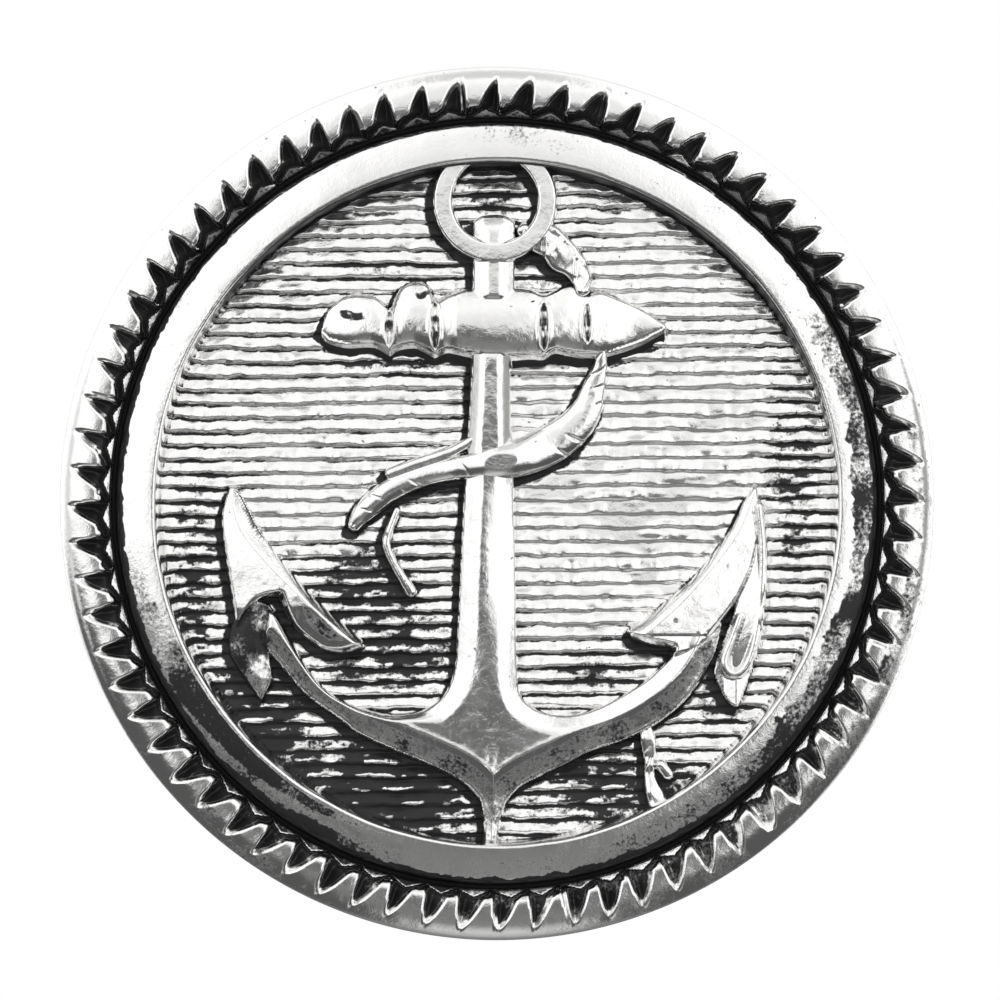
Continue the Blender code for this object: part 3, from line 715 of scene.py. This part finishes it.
def antique_silver(name, silver, gloss, wear, grain=1.0, turning=0.0):
    """Polished plate over black: an attribute says where patina, and on some pieces painted shade, darkens
    it.
    """
    material, tree, shader = new_material(name)
    place = object_place(tree)
    fine = noise_node(tree, place, 9000, 3, 0.65)
    coarse = noise_node(tree, place, 1400, 3, 0.6)
    spots = noise_node(tree, place, 3600, 2, 0.5)
    darkening = add(tree, "ShaderNodeAttribute", {}, "Fac", attribute_name="darkening")
    shake = math_node(tree, "MULTIPLY", math_node(tree, "SUBTRACT", fine, 0.5), wear)
    drift = math_node(tree, "MULTIPLY", math_node(tree, "SUBTRACT", coarse, 0.5), 0.25)
    level = math_node(tree, "ADD", math_node(tree, "ADD", darkening, shake), drift)
    pits = math_node(tree, "MULTIPLY", remap(tree, spots, 0.735, 0.77), 0.7)
    dark = math_node(tree, "MAXIMUM", remap(tree, level, 0.42, 0.62), pits)
    tint = mix_colour(tree, coarse, silver, darker(silver, 0.9))
    smooth = remap(tree, coarse, 0.3, 0.7, gloss, gloss + 0.08)
    relief = math_node(tree, "ADD", fine, math_node(tree, "MULTIPLY", coarse, 1.5))
    if turning:
        marks = {"Vector": place, "Scale": 1600, "Distortion": 1.2, "Detail": 2}
        wave = add(tree, "ShaderNodeTexWave", marks, "Fac", wave_type="RINGS", rings_direction="Y")
        relief = math_node(tree, "ADD", relief, math_node(tree, "MULTIPLY", wave, turning))
    feed(tree, shader, {
        "Base Color": mix_colour(tree, dark, tint, BLACK_FOR_PATINA_AND_SHADE),
        "Roughness": math_node(tree, "ADD", smooth, math_node(tree, "MULTIPLY", dark, 0.3)),
        "Metallic": math_node(tree, "SUBTRACT", 1.0, math_node(tree, "MULTIPLY", dark, 0.55)),
        "Normal": bump(tree, relief, 0.35 * grain, FINE_BUMP),
    })
    return material


def drawn_steel(name, colour, gloss, grain_depth):
    """Bare steel, cloudy and finely grained."""
    material, tree, shader = new_material(name)
    place = object_place(tree)
    cloud = noise_node(tree, place, 700, 4)
    grain = noise_node(tree, place, 6000, 3)
    feed(tree, shader, {
        "Base Color": mix_colour(tree, remap(tree, cloud, 0.35, 0.7), colour, darker(colour, 0.72)),
        "Roughness": remap(tree, grain, 0.2, 0.8, gloss, gloss + 0.18),
        "Metallic": 1.0,
        "Normal": bump(tree, grain, grain_depth, FINE_BUMP),
    })
    return material


def pressed_board(name):
    """Brown fibreboard."""
    light_brown, dark_brown = (0.4, 0.31, 0.21, 1), (0.22, 0.16, 0.1, 1)
    material, tree, shader = new_material(name)
    fibres = noise_node(tree, object_place(tree), 2500, 6, 0.7)
    feed(tree, shader, {
        "Base Color": mix_colour(tree, remap(tree, fibres, 0.3, 0.7), light_brown, dark_brown),
        "Roughness": 0.9,
        "Metallic": 0.0,
        "Normal": bump(tree, fibres, 0.5, 0.00005),
    })
    return material


# ------------------------------ pieces of the face

# How far patina and painted shade spread from the raised ring's foot onto the ground, by angle; the painted
# shade is heaviest along the top
CORNER_PATINA_AND_SHADE = [
    (0, 0.3), (25, 0.8), (45, 1.8), (110, 1.8), (150, 0.9), (190, 0.7), (250, 1.1), (360, 0.3),
]


def build_ground(material):
    """The ribbed ground, with patina in its lines and painted shade on their steps, patches of patina and
    painted shade, and patina with a painted shadow along the relief's feet and the raised ring's foot.
    """
    outer, floor = 9.67, 3.3
    xs = np.arange(-9.7, 9.71, 0.09)  # along the ribs, which needs fewer points than across them
    ys = np.arange(-9.7, 9.71, 0.034)
    x, y = np.meshgrid(xs, ys, indexing="ij")
    radius = np.hypot(x, y)
    height, patina_and_shade = ground(x, y)
    # Patina close round each foot, and a painted shadow of the relief that reaches further below it and to
    # its left
    edge = np.maximum(anchor(x, y)[1], rope(x, y)[1])
    shifted = [f(x + 0.13, y + 0.19)[1] for f in (anchor, rope)]
    shadow = np.maximum.reduce([*shifted, edge - 0.12])
    reach = 0.13 * (1 + 0.5 * noise(x, y, 0.6, 23) + 0.4 * noise(x, y, 0.2, 24))
    halo = np.exp(-(np.clip(-shadow, 0, None) / reach) ** 1.5)
    rim_halo = smoothstep(radius + 0.05 * noise(x, y, 0.3, 28), 9.46, 9.6)
    blur = 0.6 * noise(x, y, 1.5, 21) + 0.4 * noise(x, y, 0.45, 22)
    grain = noise(x, y * 2.2, 0.28, 25)
    dashes = smoothstep(noise(x, y * 3, 0.5, 26) + 0.6 * noise(x, y * 3, 0.2, 27), -0.1, 0.5)
    fleck = bell(rib_share(x, y), 0.42, 0.16) * dashes
    lines = patina_and_shade * (0.95 + 0.25 * blur - blobs(x, y, WORN))
    # Patches of patina and painted shade
    dark_patches = blobs(x, y, PATINA_AND_SHADE_PATCHES) * (1 + 0.35 * grain - 0.75 * fleck)
    corner = by_angle(np.arctan2(y, x), CORNER_PATINA_AND_SHADE)
    darkening = np.maximum.reduce([lines + dark_patches + 0.05 * blur, halo * 0.92, rim_halo * 0.5 * corner])
    return slab("lined_ground", xs, ys, height - 0.05 * halo, radius < outer, floor, material, darkening)


def on_ground(x, y, shape, uneven):
    """Height of relief that stands on the ground's dome, with its surface a little uneven."""
    height = FIELD_HEIGHT + RELIEF_BASE * dome(x, y) + shape
    return np.minimum(np.maximum(height, RELIEF_FOOT) + uneven, RELIEF_TOP)


def build_anchor(material):
    """The anchor with its stock and hoop, standing in the ground."""
    step, floor = 0.037, 3.32
    xs = np.arange(-8.2, 8.21, step)
    ys = np.arange(-10.15, 10.65, step)
    x, y = np.meshgrid(xs, ys, indexing="ij")
    shape, _, patina_and_shade = anchor(x, y)
    height = on_ground(x, y, shape, 0.006 * noise(x, y, 0.5, 31) + 0.003 * noise(x, y, 0.15, 32))
    # Patina where the relief meets the ground, and painted shade on the walls that look down or left
    wall = smoothstep(0.24 - shape - 0.05 * np.clip(y - HEAD_FROM, 0, None), 0.0, 0.1)
    darkening = np.maximum(patina_and_shade, wall * (0.2 + 0.68 * shade_side(height, xs, ys)))
    keep = (height > ground(x, y)[0] - SUNK) & (shape > -0.35)
    return slab("anchor_relief", xs, ys, height, keep, floor, material, darkening)


def build_rope(material):
    """The rope round the shank, its strands, its knot by the hoop and its tail on the ground."""
    step, floor = 0.032, 3.33
    xs = np.arange(-4.5, 5.1, step)
    ys = np.arange(-9.0, 8.1, step)
    x, y = np.meshgrid(xs, ys, indexing="ij")
    shape, edge, cut = rope(x, y)
    frayed = (y > 6) | (y < -6.2)
    height = on_ground(x, y, shape, 0.008 * noise(x, y, 0.3, 41) + 0.045 * noise(x, y, 0.26, 42) * frayed)
    # Patina where the rope meets the ground, and painted shade on the walls that look down or left
    wall = smoothstep(0.05 - edge, 0.0, 0.08) * (0.2 + 0.65 * shade_side(height, xs, ys))
    keep = (height > ground(x, y)[0] - SUNK) & (edge > -0.12)
    return slab("rope_relief", xs, ys, height, keep, floor, material, np.maximum(wall, 0.5 * cut))


# The raised ring's groove begins at this radius, by angle
GROOVE_START = [(0, 10.68), (30, 10.74), (60, 10.78), (120, 10.78), (150, 10.72), (185, 10.66), (360, 10.66)]
# Painted shade on its inner wall, heaviest along the top where that wall looks down, patina and painted
# shade at that wall's foot, and patina on its outer slope, by angle
WALL_SHADE = [(0, 0.35), (20, 0.6), (40, 0.95), (120, 0.95), (150, 0.5), (180, 0.1), (360, 0.1)]
FOOT_PATINA_AND_SHADE = [(0, 0.3), (25, 0.6), (45, 1.0), (120, 1.0), (150, 0.5), (360, 0.3)]
SLOPE_PATINA = [
    (0, 0.58), (22, 0.5), (50, 0.36), (85, 0.4), (120, 0.15), (150, 0.42), (175, 0.2), (200, 0.5),
    (235, 0.5), (262, 0.38), (290, 0.54), (325, 0.6), (360, 0.58),
]
# Patina in the rim's valleys, on the shelves under them and on the outer band, by angle
VALLEY_PATINA = [
    (0, 0.74), (45, 0.85), (135, 0.84), (180, 0.78), (225, 0.72), (270, 0.64), (315, 0.6), (360, 0.74),
]
SHELF_PATINA = [
    (0, 0.26), (45, 0.4), (90, 0.55), (140, 0.55), (168, 0.1), (192, 0.1), (205, 0.62), (240, 0.66),
    (270, 0.6), (330, 0.3), (360, 0.26),
]
BAND_PATINA = [
    (0, 0.42), (25, 0.3), (60, 0.2), (160, 0.18), (195, 0.3), (225, 0.4), (270, 0.36), (310, 0.42),
    (345, 0.45), (360, 0.42),
]


def build_raised_ring(material):
    """The smooth ring, with the flange and groove that run under the rim."""
    top = spline([
        (9.55, 3.4), (9.6, 3.62), (9.66, 3.8), (9.7, 4.04), (9.745, 4.27), (9.8, 4.39), (9.86, 4.432),
        (9.96, 4.425), (10.12, 4.4), (10.3, 4.36), (10.5, 4.31), (10.68, 4.255), (10.79, 4.2),
        (10.85, 4.08), (10.885, 3.75), (10.91, 3.5), (11.05, 3.45),
    ], closed=False, steps=4)
    profile = top.tolist() + [(11.6, 3.45), (11.6, 3.08), (9.55, 3.2)]

    def shape(r, t, h):
        """Slightly uneven, as the photo's reflections show."""
        x, y = flat(9.0, t)
        swell = 0.022 * noise(x, y, 2.6, 51) + 0.01 * noise(x, y, 0.7, 52)
        lump = 0.01 * noise(*flat(r, t), 0.6, 53)
        on_top = (h > 3.9) & (r < 10.95)
        return r + swell * on_top, h + lump * on_top

    def darkening(r, t, h):
        x, y = flat(r, t)
        turn = np.degrees(t) % 360
        ragged = 0.03 * noise(x, y, 0.35, 55) + 0.02 * noise(x, y, 0.12, 56)
        blotch = 1 + 0.18 * noise(x, y, 0.8, 57)
        groove = smoothstep(r + 1.6 * ragged - by_angle(t, GROOVE_START), 0.0, 0.09)
        # Painted shade on the inner wall, and patina with painted shade at its foot
        wall = by_angle(t, WALL_SHADE) * smoothstep(9.82 - r, 0.0, 0.04) * smoothstep(r, 9.62, 9.68)
        foot = 0.8 * by_angle(t, FOOT_PATINA_AND_SHADE) * smoothstep(9.69 - r, 0.0, 0.03)
        slope = by_angle(t, SLOPE_PATINA) * smoothstep(r + 5 * ragged, 10.0, 10.26)
        # A dull stretch at the lower left, with a rubbed line running out across it
        rubbed = bell(r - 10.75 + 0.0165 * (turn - 215), 0, 0.1)
        dull = 0.66 * smoothstep(r, 9.86, 9.98) * bell(turn, 226, 34, 4) * (1 - rubbed)
        return np.maximum.reduce([groove, wall, foot, slope * blotch, dull * blotch])

    return turned("raised_ring", profile[::-1], 960, material, darkening, shape)


RIM_TOP = spline([
    (11.02, 3.8), (11.14, 4.08), (11.25, 4.34), (11.34, 4.5), (11.42, 4.585), (11.5, 4.612), (11.66, 4.61),
    (11.86, 4.585), (12.02, 4.55), (12.16, 4.49), (12.28, 4.4), (12.38, 4.28),
], closed=False, steps=4)


def build_rim(material):
    """Slanting V valleys between bright tongues, shelves under them, and a rolled edge."""
    per_tooth = 22
    foot_radius, lowest = 11.06, 3.6
    rng = np.random.default_rng(7)
    tip_shift, width_shift = rng.normal(0, 0.035, TEETH), rng.normal(0, 0.05, TEETH)
    turn_shift, deep_shift = rng.normal(0, 0.035, TEETH), rng.normal(0, 0.06, TEETH)
    toothed = np.concatenate([np.arange(11.02, 11.38, 0.03), np.arange(11.4, TIP_RADIUS, 0.04)])
    roll = [(12.385, 4.26), (12.42, 4.2), (12.45, 4.12), (12.475, 4.03), (12.49, 3.94), (12.498, 3.84)]
    side = [(12.5, 3.7), (12.5, 2.6), (12.5, 1.75)]
    under = [(12.0 + 0.5 * math.cos(a), 1.65 - 0.5 * math.sin(a)) for a in np.radians(np.arange(0, 91, 15))]
    back = [(11.4, 1.15), (10.55, 1.15), (10.45, 1.25), (10.45, 1.5), (11.74, 1.55), (11.74, 3.46),
            (foot_radius, 3.46)]
    # The toothed rows stand at 0 until shape() gives them their heights
    rows = [(r, 0.0) for r in toothed] + roll + side + under + back

    def crown(r, t):
        """Top of the rim with no teeth cut, fuller along the bottom."""
        fuller = 0.07 * smoothstep(-np.sin(t), 0.0, 0.5) * smoothstep(11.8 - r, 0.0, 0.4)
        return np.interp(r + fuller, RIM_TOP[:, 0], RIM_TOP[:, 1])

    def teeth(r, t):
        """Depth of the valley at a place and the radius where the shelf under it ends."""
        place = t / (2 * math.pi) * TEETH
        tooth = np.floor(place).astype(int) % TEETH
        wobble = 0.05 * noise(*flat(12, t), 0.9, 61)
        slant = 0.1 * (TIP_RADIUS - r) / (TIP_RADIUS - LIP_RADIUS)
        u = (place - np.floor(place) + wobble + turn_shift[tooth] + slant) % 1.0
        down = np.clip((TIP_RADIUS + tip_shift[tooth] - r) / (TIP_RADIUS - LIP_RADIUS), 0, 1.2)
        width = (0.05 + 0.86 * down**0.95) * (1 + width_shift[tooth])
        ragged = 0.05 * noise(*flat(r, t), 0.12, 63)
        low = smoothstep(-np.sin(t), 0.0, 0.5)
        width = np.maximum(width, 0.62 + 3.2 * (down + ragged - 0.68 - 0.1 * low))
        q = u / np.maximum(width, 1e-3)
        vee = np.where(q < 0.3, q / 0.3, (1 - q) / 0.7)
        depth = (0.52 + deep_shift[tooth]) * smoothstep(down, 0.0, 0.6) * np.clip(vee, 0, 1) ** 0.8
        return depth * (down > 0) * (q < 1), 11.32 - 0.42 * np.abs(u - 0.46)

    def shape(r, t, h):
        depth, edge = teeth(r, t)
        out = r - 11.05
        shelf = 3.74 + 0.35 * out
        ridge = crown(r, t) - depth + 0.006 * noise(*flat(r, t), 0.3, 62)
        ridge = np.maximum(ridge, 3.86 + 0.3 * out)
        cut = np.where(r < edge, np.minimum(shelf, ridge), ridge)
        cut = np.where(r < foot_radius, lowest, np.maximum(cut, lowest))
        return r, np.where(h == 0, cut, h)

    def darkening(r, t, h):
        x, y = flat(r, t)
        depth, edge = teeth(r, t)
        valley = smoothstep(depth, 0.09, 0.22) * by_angle(t, VALLEY_PATINA)
        # A painted highlight: a light line along the end of each shelf
        lit = 0.5 * bell(r - edge, -0.03, 0.035)
        cut = np.where(r < edge, by_angle(t, SHELF_PATINA) - lit, valley) + 0.1 * noise(x, y, 0.5, 64)
        foot = 0.9 * smoothstep(11.07 - r, 0.0, 0.03)
        band = by_angle(t, BAND_PATINA) * smoothstep(r, 11.72, 11.95)
        band += 0.12 * noise(x, y, 0.8, 65) + 0.06 * noise(x, y, 0.16, 66)
        on_top = (r < 12.38) & (h > 3.5)
        return np.where(on_top, np.maximum.reduce([cut, band, foot]), 0.7 * band * (h > 3.2) + 0.12)

    return turned("toothed_rim", rows[::-1], TEETH * per_tooth, material, darkening, shape)


# ------------------------------ the back and the shank

def build_back(material):
    """Dished back plate with a flat land and a sunk seat for the eyelet."""
    thick, land, dish_top, outer = 0.45, 7.0, 1.6, 11.58
    dish = [(land + 3.35 * s, dish_top * (3 * s * s - 2 * s**3)) for s in np.linspace(0, 1, 25)]
    seat = rounded([(land, 0.0), (3.45, 0.0), (3.45, 0.4), (1.85, 0.4), (1.85, 0.85), (3.9, 0.85),
                    (3.9, thick), (land, thick)], 0.1)
    inner = [p for p in seat if p[0] < land - 0.1]
    profile = [(outer, dish_top)] + dish[::-1] + inner + [(r, h + thick) for r, h in dish] + [(outer, 2.04)]

    def darkening(r, t, h):
        corner = 0.55 * smoothstep(r, 9.9, 10.4)
        seat_dark = 0.6 * smoothstep(3.75 - r, 0.0, 0.3) * smoothstep(h, 0.02, 0.2)
        return np.maximum.reduce([corner, seat_dark, 0.16 + 0.14 * noise(*flat(r, t), 2.4, 71)])

    return turned("dished_back", profile, 240, material, darkening)


def build_eyelet(material):
    """Short tube with a rolled flange at each end."""
    profile = rounded([(2.8, 1.2), (2.8, 0.9), (1.8, 0.9), (1.8, 0.35), (3.2, 0.35), (3.2, 0.05),
                       (1.45, 0.05), (1.45, 1.2)], 0.14, 5)

    def darkening(r, t, h):
        return smoothstep(r, 3.05, 3.2) * 0.55 + smoothstep(1.6 - r, 0.0, 0.12) * 0.5

    return turned("rolled_eyelet", profile, 160, material, darkening)


def build_wire(material):
    """Omega of round wire: eye, neck, legs and spread feet with rounded ends."""
    wire, eye, leg, neck, bend = 0.585, 2.585, 0.65, 0.9, 0.85  # radii, and half the gap between the legs
    foot_height, reach, cut = 2.2, 3.6, 0.08
    neck_x = leg + neck
    rise = math.sqrt((eye + neck) ** 2 - neck_x**2)
    meeting = math.atan2(rise, neck_x)
    half = [(eye * math.cos(a), -EYE_STANDOFF + eye * math.sin(a))
            for a in np.linspace(-math.pi / 2, meeting, 70)]
    half += [(neck_x + neck * math.cos(a), rise - EYE_STANDOFF + neck * math.sin(a))
             for a in np.linspace(meeting + math.pi, math.pi, 16)[1:]]
    half += [(leg + bend + bend * math.cos(a), foot_height - bend + bend * math.sin(a))
             for a in np.linspace(math.pi, math.pi / 2, 14)]
    half += [(x, foot_height) for x in np.linspace(leg + bend, reach - cut, 8)[1:]]
    route = np.array([(-x, h) for x, h in half[::-1]] + half[1:])
    along_it = np.gradient(route, axis=0)
    along_it /= np.linalg.norm(along_it, axis=1)[:, None]
    # One more ring past each end, smaller by the rounding
    route = np.vstack([route[0] - along_it[0] * cut, route, route[-1] + along_it[-1] * cut])
    along_it = np.vstack([along_it[0], along_it, along_it[-1]])
    sizes = np.full(len(route), wire)
    sizes[[0, -1]] -= cut
    sides = 32
    turns = 2 * math.pi * np.arange(sides) / sides
    rings = []
    for (px, pz), (tx, tz), size in zip(route, along_it, sizes):
        out = size * np.cos(turns)
        rings.append(np.stack([px - out * tz, size * np.sin(turns), pz + out * tx], axis=1))
    end = len(rings) * sides
    caps = [range(sides), range(end - 1, end - sides - 1, -1)]
    return new_object("wire_loop", np.concatenate(rings), bands(len(rings), sides, False) + caps, material)


def build_washer(material):
    """Washer under the wire's feet."""
    profile = rounded([(3.6, 1.55), (3.6, 1.25), (1.45, 1.25), (1.45, 1.55)], 0.06, 4)
    return turned("pressed_washer", profile, 96, material)


def make_pieces():
    silver = (0.93, 0.925, 0.915, 1.0)
    relief_metal = antique_silver("relief_silver", silver, 0.12, 0.4)
    ground_metal = antique_silver("ground_silver", silver, 0.16, 0.65)
    ring_metal = antique_silver("ring_silver", silver, 0.13, 0.5)
    rim_metal = antique_silver("rim_silver", silver, 0.14, 0.45)
    back_metal = antique_silver("back_silver", (0.62, 0.61, 0.59, 1.0), 0.3, 0.5, grain=1.4, turning=0.8)
    eyelet_metal = antique_silver("eyelet_silver", (0.74, 0.73, 0.71, 1.0), 0.24, 0.5)
    wire_metal = drawn_steel("drawn_wire", (0.62, 0.62, 0.63, 1.0), 0.26, 0.4)
    washer_metal = drawn_steel("stamped_steel", (0.52, 0.52, 0.53, 1.0), 0.36, 0.3)
    for made, node, slot, body in (
        (build_ground(ground_metal), "face_plate", "face_silver", "head"),
        (build_anchor(relief_metal), "face_plate", "face_silver", "head"),
        (build_rope(relief_metal), "face_plate", "face_silver", "head"),
        (build_raised_ring(ring_metal), "face_plate", "face_silver", "head"),
        (build_rim(rim_metal), "rim_ring", "rim_silver", "head"),
        (build_back(back_metal), "back_plate", "back_silver", "head"),
        (build_eyelet(eyelet_metal), "shank_eyelet", "eyelet_silver", "head"),
        (build_wire(wire_metal), "shank_loop", "shank_wire", "shank"),
        (build_washer(washer_metal), "foot_washer", "washer_steel", "shank"),
    ):
        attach(made, body)
        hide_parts(node)
    # These two stay as they are in the CAD, in materials of their own
    for node, material in (("backing_disc", drawn_steel("backing_steel", (0.5, 0.5, 0.51, 1.0), 0.34, 0.3)),
                           ("filler_disc", pressed_board("pressed_board"))):
        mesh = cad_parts[node].data
        mesh.materials.clear()
        mesh.materials.append(material)


# ------------------------------ stage, light and camera

def make_stage():
    """A pale floor some way below the button, which the metal doesn't reflect."""
    size, level = 0.15, -0.0162
    bpy.ops.mesh.primitive_circle_add(vertices=128, radius=size, fill_type="NGON", location=(0, 0, level))
    floor = bpy.context.object
    floor.name = "floor"
    material, tree, shader = new_material("pale_floor")
    feed(tree, shader, {"Base Color": grey(0.86), "Roughness": 0.8})
    floor.data.materials.append(material)
    floor.visible_glossy = False


# How bright the tent is in the middle, from straight down (-1) to straight up (1)
TENT = [
    (-1.0, 0.66), (-0.88, 0.46), (-0.7, 0.26), (-0.4, 0.22), (-0.2, 0.18), (-0.08, 0.12), (0.0, 0.12),
    (0.05, 0.18), (0.09, 0.52), (0.15, 0.88), (0.38, 0.92), (0.6, 1.1), (0.84, 1.12), (0.93, 0.76),
    (1.0, 0.72),
]


def make_world():
    """White behind the subject and on plain surfaces; metal reflects a tent, bright above and beside it."""
    world = bpy.data.worlds.new("light_tent")
    bpy.context.scene.world = world
    world.use_nodes = True
    tree = world.node_tree
    tree.nodes.clear()
    way = add(tree, "ShaderNodeTexCoord", {}, "Generated")
    across, up = (add(tree, "ShaderNodeSeparateXYZ", {0: way}, axis) for axis in "XZ")
    ramp = tree.nodes.new("ShaderNodeValToRGB")
    elements = ramp.color_ramp.elements
    while len(elements) < len(TENT):
        elements.new(1.0)
    for element, (height, level) in zip(elements, TENT):
        element.position = (height + 1) / 2
        element.color = grey(level)
    feed(tree, ramp, {"Fac": remap(tree, up, -1, 1, kind="LINEAR")})
    skew = math_node(tree, "ADD", up, math_node(tree, "MULTIPLY", across, 0.12))
    sides = mix_colour(tree, remap(tree, skew, -0.32, -0.14), grey(0.1), grey(1.25))
    beside = remap(tree, math_node(tree, "ABSOLUTE", across), 0.14, 0.28)
    tent = mix_colour(tree, beside, ramp.outputs["Color"], sides)
    tent = mix_colour(tree, remap(tree, across, 0.9, 0.97), tent, grey(0.4))
    tent = mix_colour(tree, remap(tree, across, -0.91, -0.98), tent, grey(0.8))
    for_metal = add(tree, "ShaderNodeLightPath", {}, "Is Glossy Ray")
    white, light = (add(tree, "ShaderNodeBackground", {"Color": colour}) for colour in (grey(1), tent))
    feed(tree, tree.nodes.new("ShaderNodeOutputWorld"),
         {"Surface": add(tree, "ShaderNodeMixShader", {0: for_metal, 1: white, 2: light})})


def make_camera():
    """Square to the face, far enough that the lens hardly shows any perspective."""
    distance, frame_width = 1.2, 0.02861
    aim = (0.00009, -0.0082, 0.0001)  # on the face, a little off its middle as in the photo
    data = bpy.data.cameras.new("camera")
    data.lens = data.sensor_width * distance / frame_width
    data.clip_start, data.clip_end = 0.05, 5
    camera = bpy.data.objects.new("camera", data)
    bpy.context.scene.collection.objects.link(camera)
    camera.location = (aim[0], aim[1] - distance, aim[2])
    camera.rotation_euler = (math.pi / 2, 0, 0)
    bpy.context.scene.camera = camera


make_pieces()
make_stage()
make_world()
make_camera()
bpy.context.scene.view_settings.view_transform = "Standard"
